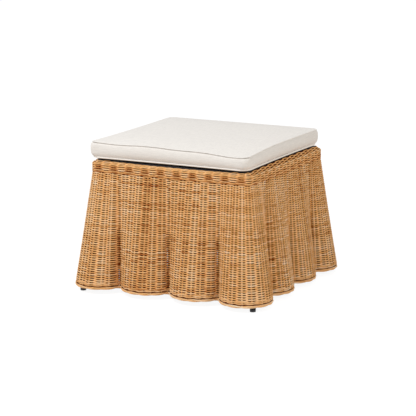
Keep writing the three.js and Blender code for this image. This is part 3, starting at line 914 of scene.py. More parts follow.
def hem_roll(wall, length, weave, rng):
    """Three thick strands laid up as a rope along the hem."""
    steps = int(length / (3.2 * MM))
    turns = max(round(length / weave.hem_lay * 3), 3) / 3
    along = np.linspace(0, 1, steps)[None] + np.zeros((3, 1))
    phase = 2 * math.pi * (turns * along + np.arange(3)[:, None] / 3)
    swing = HEM_RADIUS - weave.hem_strand / 2
    depth = HEM_RADIUS + swing * np.cos(phase)
    travel = HEM_ROLL_MIDDLE + swing * np.sin(phase)
    tone = STAKE_TONE + STRAND_SCATTER * rng.standard_normal((3, 1))
    half = weave.hem_strand / 2 * 0.98
    return strands(wall, along, travel, depth, HEM_NOTCH, half, half, tone, 8)


def hem_shade_strip(wall):
    """A flat strip behind the hem's slits, where the stakes' turned-up ends lie close together. Its
    near-black tone is painted shade.
    """
    along = np.linspace(0.012, 0.988, 80)[None]
    return strands(wall, along, LINING_HEIGHT, LINING_DEPTH, 0, LINING_HALF, LINING_THIN, 0.02, 4)


def hem_shadow_strand(wall):
    """A thin dark strand in the groove between the hem's roll and the rows above it."""
    along = np.linspace(0, 1, 110)[None]
    return strands(wall, along, HEM_GROOVE, *HEM_SHADOW)


def valley_shade_strip(edge, hem, face):
    """A flat strip of peel close behind the rib of a lobe's first valley, at the darkest tone: painted shade.
    """
    height = np.linspace(SKIRT_LOW.z + 3 * MM, OPEN_VALLEY_HEIGHT + OPENING_REACH, 40)
    plan = lerp(edge(0)[0], hem(0)[0], share_down(height)[:, None])
    behind = rib_clearance(height) + 2 * RIB_RADIUS + VALLEY_LINING_GAP
    plan = plan + behind[:, None] * inward_of(face)
    centres = np.concatenate((plan, height[:, None]), -1)[None]
    sideways = np.broadcast_to((*face, 0.0), centres.shape)
    forward = unit(np.gradient(centres, axis=1))
    return tubes(centres, sideways * VALLEY_LINING_HALF, np.cross(forward, sideways) * LINING_THIN, 0.0, 4)


def skirt_panel(name, lobe, spaces, parity, turns, material, weave, seed):
    """One lobe of the skirt, with its hem and the near-black strips, painted shade, that close its slits and
    its first valley.
    """
    edge, hem, faces = lobe
    wall = skirt_wall(edge, hem, faces)
    rng = np.random.default_rng(weave.seed * 100 + seed)
    shares = stake_shares(spaces, rng)
    length = np.linalg.norm(hem(0.5)[1])
    parts = [
        woven_rows(wall, spaces, shares, parity, weave, rng),
        woven_stakes(wall, spaces, shares, weave, rng),
        hem_roll(wall, length, weave, rng),
        *[twined_row(wall, spaces, shares, parity, height, rng) for height in TWINED_ROWS],
        hem_shade_strip(wall),
        hem_shadow_strand(wall),
        valley_shade_strip(edge, hem, faces[0]),
    ]
    settle(piece(f"woven_{name}", parts, material, turns), BASE, "rattan_weave", f"skirt_{name}")


def rim_piece(name, turns, material, weave, seed):
    """One side of the rim band: its rows, its thin stakes, and the two strands that finish its lower edge."""
    rng = np.random.default_rng(weave.seed * 100 + seed)
    spaces = weave.rim_spaces
    shares = np.linspace(0, 1, spaces + 1)
    place = np.linspace(0, spaces, spaces * 6 + 1)
    along = np.interp(place, np.arange(spaces + 1), shares)
    travel_end = band_profile()[0][-1]
    wall = band_wall(SIDE_LAPS[turns])
    half = weave.weaver / 2
    thin = weave.weaver_depth / 2
    count = int((travel_end - 2 * half) / weave.row_pitch) + 1
    order = np.arange(count)[:, None]
    travel = half + weave.row_pitch * order + 0 * along
    upright = RIM_TOP - BAND_EDGE - BAND_LOW.z
    lapping = smooth((travel - upright + 3 * MM) / (4 * MM))
    above = smooth((travel - RIM_LINE + 0.5 * MM) / MM)

    def by_zone(below_line, face, lap):
        return lerp(below_line, lerp(face, lap, lapping), above)

    back = thin + by_zone(*RIM_SINK)
    depth = (thin + back) / 2 - (back - thin) / 2 * np.cos(math.pi * (place + order))
    # Rows that sink behind a stake are darkened as painted shade, most on the laps under the cushion
    painted_shade = by_zone(*RIM_PAINTED_SHADE) * sunk_share(depth, thin, back, 0.64)
    tone = row_tones(count, len(place), rng) - painted_shade
    rows = strands(wall, along, travel, depth, 0, half * lerp(1.12, 1.02, lapping), thin, tone)
    stake_travel = np.linspace(0, travel_end, 24)[None]
    stakes = strands(wall, shares[1:-1, None], stake_travel, *RIM_STAKE)
    swing = RIM_EDGE_SWING * np.cos(math.pi * place)[None]
    edge = [
        strands(wall, along[None], line, RIM_EDGE_DEPTH + sign * swing, 0, half_width, RIM_EDGE_THIN, shade)
        for line, sign, half_width, shade in RIM_EDGE_STRANDS
    ]
    band = piece(f"woven_rim_{name}", [rows, stakes, *edge], material, turns)
    settle(band, BASE, "rattan_weave", f"rim_band_{name}")


class FOOTSTOOL_OT_weave_skirt(bpy.types.Operator):
    """Weaves the eight side lobes and four corner lobes of the skirt"""

    bl_idname = "footstool.weave_skirt"
    bl_label = "Weave Skirt"

    def execute(self, context):
        weave = context.scene.footstool_weave
        material = woven_rattan(context)
        for turns, (side, corner) in enumerate(zip(SIDES, CORNERS)):
            lobes = (
                (f"{side}_a", side_lobe(-VALLEY_PITCH), weave.side_spaces, 0),
                (f"{side}_b", side_lobe(0), weave.side_spaces, 1),
                (f"corner_{corner}", corner_lobe(), weave.corner_spaces, 0),
            )
            for number, lobe in enumerate(lobes):
                skirt_panel(*lobe, turns, material, weave, 10 * turns + number)
        return {"FINISHED"}


class FOOTSTOOL_OT_weave_rim(bpy.types.Operator):
    """Weaves the four sides of the rim band"""

    bl_idname = "footstool.weave_rim"
    bl_label = "Weave Rim"

    def execute(self, context):
        weave = context.scene.footstool_weave
        material = woven_rattan(context)
        for turns, side in enumerate(SIDES):
            rim_piece(side, turns, material, weave, 50 + turns)
        return {"FINISHED"}


# Poles and lashings


def leg_half(height):
    return lerp(LEG_FOOT_HALF, LEG_HEAD_HALF, height / SKIRT_HIGH.z)


def rib_half(height):
    return lerp(RIB_FOOT_HALF, RIB_HEAD_HALF, share_up(height))


def upright_path(half, low, high, x=None):
    """The path of a pole that leans in as it rises. A leg leans along both axes."""
    height = np.linspace(low, high, int((high - low) / (4 * MM)))
    back = half(height)
    return np.stack((back if x is None else x + 0 * height, -back, height), -1)


def rail_path(height, half, straight_end):
    """The path of a rail from leg to leg: straight, or bent out to the legs beyond its straight part."""
    leg = leg_half(height)
    handle = lerp(straight_end, leg, HOOP_HANDLE)
    part = np.linspace(0, 1, 24)[1:, None]
    first, control, last = np.array(((straight_end, -half), (handle, -half), (leg, -leg)))
    bend = (1 - part) ** 2 * first + 2 * part * (1 - part) * control + part**2 * last
    middle_x = np.linspace(-straight_end, straight_end, 90)
    flat = np.concatenate((bend[::-1] * (-1, 1), np.stack((middle_x, 0 * middle_x - half), -1), bend))
    return np.concatenate((flat, np.full((len(flat), 1), height)), -1)


def shortened(path, radius):
    """The part of a rail's path that lies between the two legs' skins."""
    reach = np.hypot(np.abs(path[:, 0]) - leg_half(path[:, 2]), path[:, 1] + leg_half(path[:, 2]))
    return path[reach > radius]


def end_rings(part):
    """The two end rings of a pole, each with the direction out of that end."""
    points = part["points"].reshape(-1, POLE_FACETS, 3)
    for end, inner in ((0, 1), (-1, -2)):
        yield points[end], unit(points[end].mean(0) - points[inner].mean(0))


def cope(part):
    """Runs the ends of a rail on until they meet the skins of the legs."""
    for ring, direction in end_rings(part):
        leg = leg_half(ring[:, 2])
        offset = ring[:, :2] - np.stack((np.sign(direction[0]) * leg, -leg), -1)
        along = offset @ direction[:2]
        square = (LEG_RADIUS + FIT) ** 2 - (offset**2).sum(-1) + along**2
        move = -along - np.sqrt(np.maximum(square, LEAST_COPE**2))
        ring += move[:, None] * direction


def cut_level(part):
    """Cuts the ends of an upright pole level."""
    for ring, direction in end_rings(part):
        move = (ring[:, 2].mean() - ring[:, 2]) / direction[2]
        ring += move[:, None] * direction


def cane(node, path, radius, finish_ends, turns, material, rng, painted_shade=0.0):
    """A rattan pole. It swells a little at its rings, a hand's breadth or two apart, and is darker there."""
    length = np.concatenate(([0], np.cumsum(np.linalg.norm(np.diff(path, axis=0), axis=-1))))
    ring_places = np.cumsum(rng.uniform(*RING_SPACES, 4)) - 0.1
    distance = np.abs(length[:, None] - ring_places).min(1)
    thickness = radius - RING_SWELL * (1 - bell(distance / RING_REACH))
    # A rib is darkened along its whole length as painted shade, for it stands in the shade of its valley
    tone = POLE_TONE - painted_shade - RING_STAIN * bell(distance / RING_STAIN_REACH)
    part = pole(path, thickness, tone, POLE_FACETS)
    finish_ends(part)
    settle(piece(f"pole_{node}", [part], material, turns), BASE, "rattan_pole", node)


def loop_path(centre, across, depth, half_across, half_depth, power):
    """A closed path round a centre: an oval, or with a power under 1 a rounded box."""
    turn = np.linspace(0, 2 * math.pi, 28, endpoint=False)[:, None]
    cosine, sine = np.cos(turn), np.sin(turn)
    sides = np.sign(sine) * np.abs(sine) ** power * half_across
    ends = np.sign(cosine) * np.abs(cosine) ** power * half_depth
    return centre + sides * across + ends * depth


def peel_turns(path, axis, count, tone):
    """Turns of flat rattan peel side by side along an axis, each on one closed path."""
    centres = path + (np.arange(count) - (count - 1) / 2)[:, None, None] * PEEL_PITCH * axis
    wide = np.broadcast_to(axis, centres.shape)
    deep = np.cross(closed_forward(centres), wide)
    return tubes(centres, wide * PEEL_WIDTH / 2, deep * PEEL_DEPTH / 2, tone, closed=True)


def lashings(side, turns, heights, material, rng):
    """Rattan peel binds each rib to the hoops, and the hoops' ends to the legs."""
    parts = []
    depth = np.array((0.0, 1.0, 0.0))
    half_bundle = (RIB_RADIUS + HOOP_BEHIND_RIB + HOOP_RADIUS) / 2
    slope = (LEG_HEAD_HALF - LEG_FOOT_HALF) / SKIRT_HIGH.z
    ring = LEG_RADIUS + PEEL_DEPTH / 2 + 0.1 * MM
    for height in heights:
        for x in VALLEYS:
            centre = np.array((x, half_bundle - rib_half(height) - RIB_RADIUS, height))
            for slant, grow in ((1, 0), (-1, PEEL_DEPTH)):
                across = unit(np.array((slant, 0.0, 1.0)))
                half_across, half_depth = BINDING_HALF + grow, half_bundle + FIT + grow
                path = loop_path(centre, across, depth, half_across, half_depth, 0.75)
                tone = 0.6 + 0.08 * rng.standard_normal()
                parts.append(peel_turns(path, np.cross(across, depth), 3, tone))
        for end in (-1, 1):
            for gap in (-1, 1):
                middle_height = height + gap * (HOOP_RADIUS + 5 * MM)
                half = leg_half(middle_height)
                centre = np.array((end * half, -half, middle_height))
                axis = unit(np.array((end * slope, -slope, 1.0)))
                across = unit(np.cross(axis, depth))
                path = loop_path(centre, np.cross(axis, across), across, ring, ring, 1)
                parts.append(peel_turns(path, axis, 2, 0.6))
    settle(piece(f"lashings_{side}", parts, material, turns), BASE, "rattan_weave")


class FOOTSTOOL_OT_bend_poles(bpy.types.Operator):
    """Makes the legs, ribs and rails of rattan pole, and their lashings of peel"""

    bl_idname = "footstool.bend_poles"
    bl_label = "Bend Poles"

    def execute(self, context):
        weave = context.scene.footstool_weave
        colours = context.scene.footstool_colours
        stops = ((0.15, colours.pole_dark), (0.6, colours.pole_pale))
        skin = rattan("rattan_pole_skin", stops, 1.6 * MM, 0.42)
        peel = woven_rattan(context)
        for turns, (side, corner) in enumerate(zip(SIDES, CORNERS)):
            rng = np.random.default_rng(weave.seed * 100 + 60 + turns)
            leg = upright_path(leg_half, LEG_LOW.z, LEG_HIGH.z)
            cane(f"leg_{corner}", leg, LEG_RADIUS, cut_level, turns, skin, rng)
            for letter, x in zip("abc", VALLEYS):
                rib = upright_path(rib_half, RIB_LOW.z, RIB_HIGH.z, x)
                cane(f"rib_{side}_{letter}", rib, RIB_RADIUS, cut_level, turns, skin, rng, RIB_POLE_PAINTED_SHADE)
            top = np.linspace(-RAIL_REACH, RAIL_REACH, 120)[:, None] * (1, 0, 0)
            top = top + (0, -RAIL_HALF, middle("top_rail_front").z)
            cane(f"top_rail_{side}", top, RAIL_RADIUS, cope, turns, skin, rng)
            heights = []
            for node in (f"mid_rail_{side}", f"low_rail_{side}"):
                height = middle(node).z
                hoop = rail_path(height, rib_half(height) - HOOP_BEHIND_RIB, HOOP_STRAIGHT)
                hoop = shortened(hoop, LEG_RADIUS + HOOP_RADIUS)
                cane(node, hoop, HOOP_RADIUS, cope, turns, skin, rng)
                heights.append(height)
            lashings(side, turns, heights, peel, rng)
        return {"FINISHED"}


# Deck, battens, glides and nails


def bevelled_box(low, high, bevel):
    """A box between two corners with its arrises taken off, which is then the active object."""
    low, high = Vector(low), Vector(high)
    bpy.ops.object.select_all(action="DESELECT")
    bpy.ops.mesh.primitive_cube_add(size=1, location=(low + high) / 2)
    made = bpy.context.object
    made.scale = high - low
    bpy.ops.object.transform_apply(location=True, rotation=False, scale=True)
    bpy.ops.object.mode_set(mode="EDIT")
    bpy.ops.mesh.select_all(action="SELECT")
    bpy.ops.mesh.bevel(offset=bevel, segments=2, affect="EDGES")
    bpy.ops.object.mode_set(mode="OBJECT")
    return made


def modelled(name, material, body, slot, node):
    """Finishes the active object as a piece: its place in its mesh, its material, its body and the node it
    replaces.
    """
    made = bpy.context.object
    made.name = name
    bpy.ops.object.transform_apply(location=True, rotation=True, scale=True)
    made.data.materials.clear()
    made.data.materials.append(material)
    settle(made, body, slot, node)


def glide(corner, material):
    """A turned glide with a rounded foot and a recess for its nail. The first one made has no recess and is
    two shells, one 4.9 mm above the other: edit mode still selects by points then and takes every face."""
    low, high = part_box(f"glide_{corner}")
    radius = (high.x - low.x) / 2
    height = high.z - low.z
    bpy.ops.object.select_all(action="DESELECT")
    bpy.ops.mesh.primitive_cylinder_add(vertices=48, radius=radius, depth=height, location=(low + high) / 2)
    made = bpy.context.object
    for face in made.data.polygons:
        face.select = face.normal.z < -0.9
    bpy.ops.object.mode_set(mode="EDIT")
    bpy.ops.mesh.select_mode(type="FACE")
    bpy.ops.mesh.inset(thickness=radius - GLIDE_RECESS / 2)
    bpy.ops.mesh.extrude_region_move(TRANSFORM_OT_translate={"value": (0, 0, GLIDE_RECESS_DEPTH)})
    bpy.ops.object.mode_set(mode="OBJECT")
    bevel = made.modifiers.new("bevel", "BEVEL")
    bevel.width = ARRIS
    bevel.segments = 3
    bpy.ops.object.modifier_apply(modifier=bevel.name)
    bpy.ops.object.shade_smooth_by_angle(angle=math.radians(40))
    modelled(f"turned_glide_{corner}", material, BASE, "black_plastic", f"glide_{corner}")


def lathed(name, places, profile, material, slot, *nodes):
    """Turned pieces at these places, each from pairs of radius and height."""
    radius, height = np.array(profile).T
    paths = [np.stack((x + 0 * height, y + 0 * height, height), -1) for x, y in places]
    parts = [pole(path, radius, 0.5, 32) for path in paths]
    settle(piece(name, parts, material), BASE, slot, *nodes)


class FOOTSTOOL_OT_fit_deck(bpy.types.Operator):
    """Paints the seat deck, and makes its battens and screws"""

    bl_idname = "footstool.fit_deck"
    bl_label = "Fit Deck"

    def execute(self, context):
        colours = context.scene.footstool_colours
        black = tuple(colours.board)
        # Brushed paint on board: dull black, greyer where the brush left it thin
        paint = mottled("painted_board", shaded(black, 3), black, 2.5 * MM, 0.6, 0.08 * MM)
        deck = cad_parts["seat_deck"]
        deck.data.materials.clear()
        deck.data.materials.append(paint)
        light = tuple(colours.softwood)
        sawn = wood("sawn_softwood", light, shaded(light, 0.55), 7 * MM, 0.75)
        for node in ("deck_batten_left", "deck_batten_right"):
            bevelled_box(*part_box(node), ARRIS)
            modelled(f"sawn_{node}", sawn, BASE, "batten_wood", node)
        # Zinc-plated steel: a soft grey gleam, mottled by its crystals
        steel = metal("zinc_steel", "#bcbcbc", "#a2a2a4", 0.8 * MM, 0.35, 0.02 * MM)
        profile = [(radius * MM, DECK_TOP + height * MM) for radius, height in SCREW_HEAD]
        places = [(x * middle("deck_batten_right").x, y) for x in (-1, 1) for y in SCREW_ROWS]
        lathed("deck_screws", places, profile, steel, "nail_steel")
        return {"FINISHED"}


class FOOTSTOOL_OT_turn_glides(bpy.types.Operator):
    """Turns the four glides and the nails that hold them"""

    bl_idname = "footstool.turn_glides"
    bl_label = "Turn Glides"

    def execute(self, context):
        black = tuple(context.scene.footstool_colours.board)
        # Moulded polypropylene: an even black with a faint sheen
        plastic = mottled("moulded_plastic", shaded(black, 1.6), black, 1.2 * MM, 0.45, 0.02 * MM)
        # Drawn steel: brighter and smoother than the zinc
        steel = metal("bright_steel", "#cbcbcb", "#aeaeb0", 0.6 * MM, 0.3, 0.01 * MM)
        for corner in CORNERS:
            glide(corner, plastic)
            node = f"glide_nail_{corner}"
            low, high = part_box(node)
            centre = (low + high) / 2
            levels = [low.z + height * MM for height in NAIL_HEIGHTS] + [high.z - 3 * MM, high.z]
            profile = [(radius * MM, height) for radius, height in zip(NAIL_RADII, levels)]
            lathed(f"domed_{node}", [(centre.x, centre.y)], profile, steel, "nail_steel", node)
        return {"FINISHED"}


# Cushion


def cushion_place(u, v, half, corner, height):
    """Points of a rounded square, drawn in between its corners but for the back, where the zip is."""
    level = np.maximum(np.maximum(np.abs(u), np.abs(v)), 1e-6)
    a, b = np.abs(u) / level, np.abs(v) / level
    round_part = corner / half
    turn = math.pi / 4 * np.clip((np.minimum(a, b) - 1 + round_part) / round_part, 0, 1)
    far = 1 - round_part + round_part * np.cos(turn)
    near = np.where(turn > 0, 1 - round_part + round_part * np.sin(turn), np.minimum(a, b))
    x = np.where(a >= b, far, near) * np.sign(u) * level
    y = np.where(a >= b, near, far) * np.sign(v) * level
    draw = SIDE_DRAW / CUSHION_HALF
    x, y = x * (1 - draw * (1 - y * y)), y * (1 - draw * (1 - x * x) * (y < 0))
    place = np.stack((CUSHION_MIDDLE.x + half * x, CUSHION_MIDDLE.y + half * y, height + 0 * x), -1)
    place[..., 2] -= seam_sag(place)
    return place


def seam_sag(place):
    """How far the filling has slumped: the upper seam dips at the front right corner and waves a little."""
    x, y = ((place[..., axis] - CUSHION_MIDDLE[axis]) / CUSHION_HALF for axis in (0, 1))
    far = np.hypot(x - SAG_SHARES[0], y - SAG_SHARES[1]) * CUSHION_HALF
    dip = SAG_DEPTH * bell(far / SAG_REACH)
    wave = SEAM_WAVE * np.sin(8.5 * x + 0.6) * bell((y + 1) / 0.2)
    return (dip + wave) * smooth((place[..., 2] - LOWER_SEAM - 2 * MM) / (UPPER_SEAM - LOWER_SEAM - 2 * MM))


def seam_level(points):
    """Heights of points near the upper seam, as if the filling had not slumped."""
    at_seam = np.column_stack((points[:, :2], np.full(len(points), UPPER_SEAM)))
    return points[:, 2] + seam_sag(at_seam)


def cushion_border(cells):
    """The border of a square grid of cells, as places from -1 to 1 and as point numbers."""
    step = np.arange(cells)
    low, high = 0 * step, 0 * step + cells
    i = np.concatenate((step, high, cells - step, low))
    j = np.concatenate((low, step, high, cells - step))
    return 2 * i / cells - 1, 2 * j / cells - 1, j * (cells + 1) + i


def side_rows(inset):
    """The rows of the cushion's side, from underside to top: each a half width, corner radius and height."""
    rows = [(half, LOWER_CORNER - 6 * MM, height) for half, height in UNDER_ROWS]
    for part in (0, 0.03, *np.linspace(0.09, 0.91, 9), 0.97):
        half = CUSHION_HALF + BOXING_BELLY * (1 - (2 * part - 1) ** 4) - LOWER_DRAW * (1 - part) ** 9
        corner = lerp(LOWER_CORNER, CUSHION_CORNER, smooth(part * 1.6))
        rows.append((half, corner, lerp(LOWER_SEAM, UPPER_SEAM, part)))
    rows += [(CUSHION_HALF + out, CUSHION_CORNER, UPPER_SEAM + up) for out, up in UPPER_ROWS]
    middle_height = (LOWER_SEAM + UPPER_SEAM) / 2
    squeeze = 1 - inset / (COVER_HIGH.z - middle_height)
    return [
        (half - inset, corner - inset, lerp(middle_height, height, squeeze))
        for half, corner, height in rows
    ]


def cushion_form(name, inset, cells, material):
    """The cushion's closed form, drawn in on all faces by an inset: flat underneath and crowned on top."""
    place = np.linspace(-1, 1, cells + 1)
    v, u = np.meshgrid(place, place, indexing="ij")
    level = np.maximum(np.abs(u), np.abs(v))
    rows = side_rows(inset)
    border_u, border_v, border = cushion_border(cells)
    under = cushion_place(u, v, *rows[0]).reshape(-1, 3)
    half, corner, height = rows[-1]
    rise = np.interp(level, *np.array(CROWN).T) * (COVER_HIGH.z - inset - height)
    over = cushion_place(u, v, half, corner, height + rise).reshape(-1, 3)
    loosening = SIDE_LOOSENING * (1 - smooth((-0.8 - border_v) / 0.2))
    half, corner, height = rows[PINCHED_ROW]
    rows[PINCHED_ROW] = (half + loosening, corner, height)
    between = [cushion_place(border_u, border_v, *row) for row in rows[1:-1]]
    points = np.concatenate((under, over, *between))
    first = 2 * len(under) + np.arange(len(between))[:, None] * len(border) + np.arange(len(border))
    loops = np.concatenate((border[None], first, border[None] + len(under)))
    side = np.stack((loops[:-1], np.roll(loops[:-1], -1, 1), np.roll(loops[1:], -1, 1), loops[1:]), -1)
    grid = np.arange(len(under)).reshape(cells + 1, cells + 1)
    top = np.stack((grid[:-1, :-1], grid[:-1, 1:], grid[1:, 1:], grid[1:, :-1]), -1).reshape(-1, 4)
    faces = np.concatenate((side.reshape(-1, 4), top + len(under), top[:, ::-1]))
    mesh = bpy.data.meshes.new(name)
    mesh.from_pydata(points.tolist(), [], faces.tolist())
    mesh.update()
    mesh.materials.append(material)
    return linked(name, mesh)


def apply_modifiers(made):
    bpy.ops.object.select_all(action="DESELECT")
    bpy.context.view_layer.objects.active = made
    made.select_set(True)
    for modifier in list(made.modifiers):
        bpy.ops.object.modifier_apply(modifier=modifier.name)


def coordinates(mesh):
    flat = np.empty(3 * len(mesh.vertices), np.float32)
    mesh.vertices.foreach_get("co", flat)
    return flat.reshape(-1, 3).astype(float)


def set_coordinates(mesh, points):
    fill(mesh.vertices, "co", points)
    mesh.update()


def inflate(made, swell):
    """Lets simulated cloth belly out between its seams, by no more than the swell."""
    before = coordinates(made.data)
    at_side = np.max(np.abs(before[:, :2] - CUSHION_MIDDLE[:2]), 1) > CUSHION_HALF - HELD_MARGIN
    at_seam = np.abs(seam_level(before) - UPPER_SEAM) < HELD_BESIDE_SEAM
    held = (at_side & at_seam) | (before[:, 2] < LOWER_SEAM + 1 * MM)
    group = made.vertex_groups.new(name="held")
    group.add(np.nonzero(held)[0].tolist(), 1.0, "REPLACE")
    cloth = made.modifiers.new("cloth", "CLOTH")
    cloth.settings.use_pressure = True
    cloth.settings.uniform_pressure_force = CLOTH_PRESSURE
    cloth.settings.effector_weights.gravity = 0
    cloth.settings.vertex_group_mass = group.name
    for moment in range(CLOTH_STEPS):
        bpy.context.scene.frame_set(moment + 1)
    apply_modifiers(made)
    bpy.context.scene.frame_set(1)
    made.vertex_groups.clear()
    move = coordinates(made.data) - before
    length = np.linalg.norm(move, axis=1, keepdims=True)
    capped = before + move * np.minimum(1, swell / np.maximum(length, NUDGE))
    capped[:, 2] = np.maximum(capped[:, 2], COVER_LOW.z)
    set_coordinates(made.data, capped)


def sewn(points):
    """Cloth with small puckers beside its upper seam, and the zip's channel along the back."""
    x, y, z = points[:, 0] - CUSHION_MIDDLE.x, points[:, 1] - CUSHION_MIDDLE.y, points[:, 2]
    angle = np.arctan2(y, x)
    pucker = np.sin(61 * angle) + 0.7 * np.sin(97 * angle + 1)
    at_side = np.maximum(np.abs(x), np.abs(y)) > CUSHION_HALF - 12 * MM
    close = bell((seam_level(points) - UPPER_SEAM) / PUCKER_REACH) * at_side
    shrink = 1 - PUCKER_DEPTH * close * pucker / CUSHION_HALF
    points = np.stack((CUSHION_MIDDLE.x + x * shrink, CUSHION_MIDDLE.y + y * shrink, z), -1)
    centre = (TAPE_LOW + TAPE_HIGH) / 2
    in_channel = np.abs(points[:, 2] - centre.z) < (TAPE_HIGH.z - TAPE_LOW.z) / 2 + 0.9 * MM
    in_channel &= np.abs(points[:, 0] - centre.x) < (TAPE_HIGH.x - TAPE_LOW.x) / 2 + 1 * MM
    in_channel &= points[:, 1] > TAPE_LOW.y - 20 * MM
    points[in_channel, 1] = np.minimum(points[in_channel, 1], TAPE_LOW.y + 1 * MM)
    return points


def shade_smooth(made):
    fill(made.data.polygons, "use_smooth", np.ones(len(made.data.polygons)), bool)


def sew_cover(sizes, cloth):
    """The cover, inflated by cloth simulation between its seams."""
    cover = cushion_form("cushion_case", COVER_INSET, round(2 * CUSHION_HALF / sizes.cell), cloth)
    inflate(cover, sizes.swell)
    subdivision = cover.modifiers.new("subdivision", "SUBSURF")
    subdivision.levels = subdivision.render_levels = 1
    apply_modifiers(cover)
    set_coordinates(cover.data, sewn(coordinates(cover.data)))
    shade_smooth(cover)
    settle(cover, CUSHION, "cover_cloth", "cushion_cover")


def sew_piping(sizes, cloth):
    """The piping in the lower seam."""
    radius = sizes.piping / 2
    u, v, _ = cushion_border(130)
    half, corner, height = (seam + move for seam, move in zip(LOWER_EDGE, PIPING_OFFSET))
    path = cushion_place(u, v, half, corner, height)[None]
    upright = np.broadcast_to((0.0, 0.0, 1.0), path.shape)
    outward = np.cross(closed_forward(path), upright)
    welt = tubes(path, upright * radius, outward * radius, 0.5, 10, closed=True)
    settle(piece("cushion_piping", [welt], cloth), CUSHION, "cover_cloth")


def cut_foam():
    """The foam block inside the cover."""
    # Cut polyurethane foam: yellowish and open-celled, with no gloss at all
    foam = mottled("cut_foam", linear("#eee5bf"), linear("#ddcea2"), 1.5 * MM, 0.95, 0.6 * MM)
    core = cushion_form("foam_core", FOAM_INSET, FOAM_CELLS, foam)
    shade_smooth(core)
    settle(core, CUSHION, "cushion_foam", "cushion_foam")


class FOOTSTOOL_OT_sew_cushion(bpy.types.Operator):
    """Sews the box cushion: its cover inflated by cloth simulation, the piping in its lower seam, its foam"""

    bl_idname = "footstool.sew_cushion"
    bl_label = "Sew Cushion"

    def execute(self, context):
        sizes = context.scene.footstool_cushion
        light = tuple(context.scene.footstool_colours.cloth)
        sew_cover(sizes, plain_weave_cloth("plain_weave_cotton", light, shaded(light, 0.86), THREAD))
        # The piping's cloth is drawn paler than the cover's: a painted highlight, for the welt catches the
        # light
        sew_piping(sizes, plain_weave_cloth("bias_cotton_painted_highlight", shaded(light, 1.06), light, THREAD))
        cut_foam()
        return {"FINISHED"}


# Zip


def zip_coil(face):
    """Short rounded bars side by side along X, bowed outwards: the coil of a zip."""
    first_x, last_x = TAPE_LOW.x + COIL_MARGIN, TAPE_HIGH.x - COIL_MARGIN
    count = int((last_x - first_x) / COIL_PITCH)
    x = first_x + COIL_PITCH * (np.arange(count) + 0.5)
    part = np.linspace(-1, 1, 7)
    slant = 0.2 * COIL_PITCH * part * np.where(np.arange(count) % 2, 1, -1)[:, None]
    centres = np.empty((count, 7, 3))
    centres[..., 0] = x[:, None] + slant
    centres[..., 1] = face + COIL_LIFT * np.sqrt(1 - 0.9 * part**2)
    centres[..., 2] = middle("zip_tape").z + COIL_HALF * part
    along = np.broadcast_to((1.0, 0.0, 0.0), centres.shape)
    forward = unit(np.gradient(centres, axis=1))
    return tubes(centres, along * COIL_RADIUS, np.cross(forward, along) * COIL_RADIUS, 0.5)


def about(centre, first, last):
    """A span given by its two ends' distances in millimetres from a centre."""
    return centre + first * MM, centre + last * MM


def slider_piece(face):
    """The slider's plate over the coil, its two flanges, the bridge, and the pull that hangs from it."""
    low, high = SLIDER_LOW, SLIDER_HIGH
    x = (low.x + high.x) / 2
    z = middle("zip_tape").z
    groove = face + 1.9 * MM
    plate = groove + 1.6 * MM
    bevel = 0.3 * MM
    whole = (low.x, high.x)
    flange = (face + 0.3 * MM, groove + bevel)
    post = (plate - bevel, high.y)
    narrow = about(z, -1, 1)
    boxes = (
        (whole, (groove, plate), about(z, -3.9, 3.9), 0.7 * MM),
        (whole, flange, about(z, 1.9, 3.8), bevel),
        (whole, flange, about(z, -3.8, -1.9), bevel),
        (about(x, -2.9, -1.5), post, narrow, bevel),
        (about(x, 1.5, 2.9), post, narrow, bevel),
        (about(x, -2.9, 2.9), about(high.y, -1, 0), narrow, bevel),
        (about(x, -2.4, 2.4), about(high.y, -2.5, -1.2), (low.z, z + 2.2 * MM), 0.5 * MM),
    )
    made = [bevelled_box(*zip(*spans), edge) for *spans, edge in boxes]
    for box in made:
        box.select_set(True)
    bpy.ops.object.join()
    # Plated zinc casting: a warm grey gleam, nearly smooth
    plated = metal("plated_zinc", "#cecdca", "#b8b7b5", 0.7 * MM, 0.3, 0.01 * MM)
    modelled("zip_slider_and_pull", plated, SLIDER, "slider_metal", "zip_slider")


class FOOTSTOOL_OT_fit_zip(bpy.types.Operator):
    """Makes the zip along the cushion's back: woven tape, nylon coil, slider and pull"""

    bl_idname = "footstool.fit_zip"
    bl_label = "Fit Zip"

    def execute(self, context):
        light = tuple(context.scene.footstool_colours.cloth)
        twill = plain_weave_cloth("zip_tape_twill", shaded(light, 0.9), shaded(light, 0.75), 0.8 * MM)
        face = TAPE_HIGH.y - ZIP_DEPTH
        low, high = Vector(TAPE_LOW), Vector(TAPE_HIGH)
        low.y, high.y = face - STRIP_THICKNESS, face
        bevelled_box(low, high, 0.35 * MM)
        modelled("zip_strip", twill, CUSHION, "zip_tape", "zip_tape")
        # Nylon filament: translucent white in the hand, a satin off-white at this size
        nylon = mottled("zip_nylon", shaded(light, 0.85), shaded(light, 0.7), 0.8 * MM, 0.5, 0.02 * MM)
        settle(piece("zip_coil", [zip_coil(face)], nylon), CUSHION, "zip_tape")
        slider_piece(face)
        return {"FINISHED"}


# Stage


def set_camera(context):
    """A long lens from the front right, a little above the cushion."""
    flat = math.cos(VIEW_RISE)
    away = Vector((math.sin(VIEW_TURN) * flat, -math.cos(VIEW_TURN) * flat, math.sin(VIEW_RISE)))
    camera = bpy.data.cameras.new("camera")
    camera.sensor_width = 36
    camera.lens = LENS
    camera.clip_end = 100
    holder = linked("camera", camera)
    holder.location = VIEW_MIDDLE + VIEW_DISTANCE * away
    holder.rotation_euler = (-away).to_track_quat("-Z", "Y").to_euler()
    context.scene.camera = holder


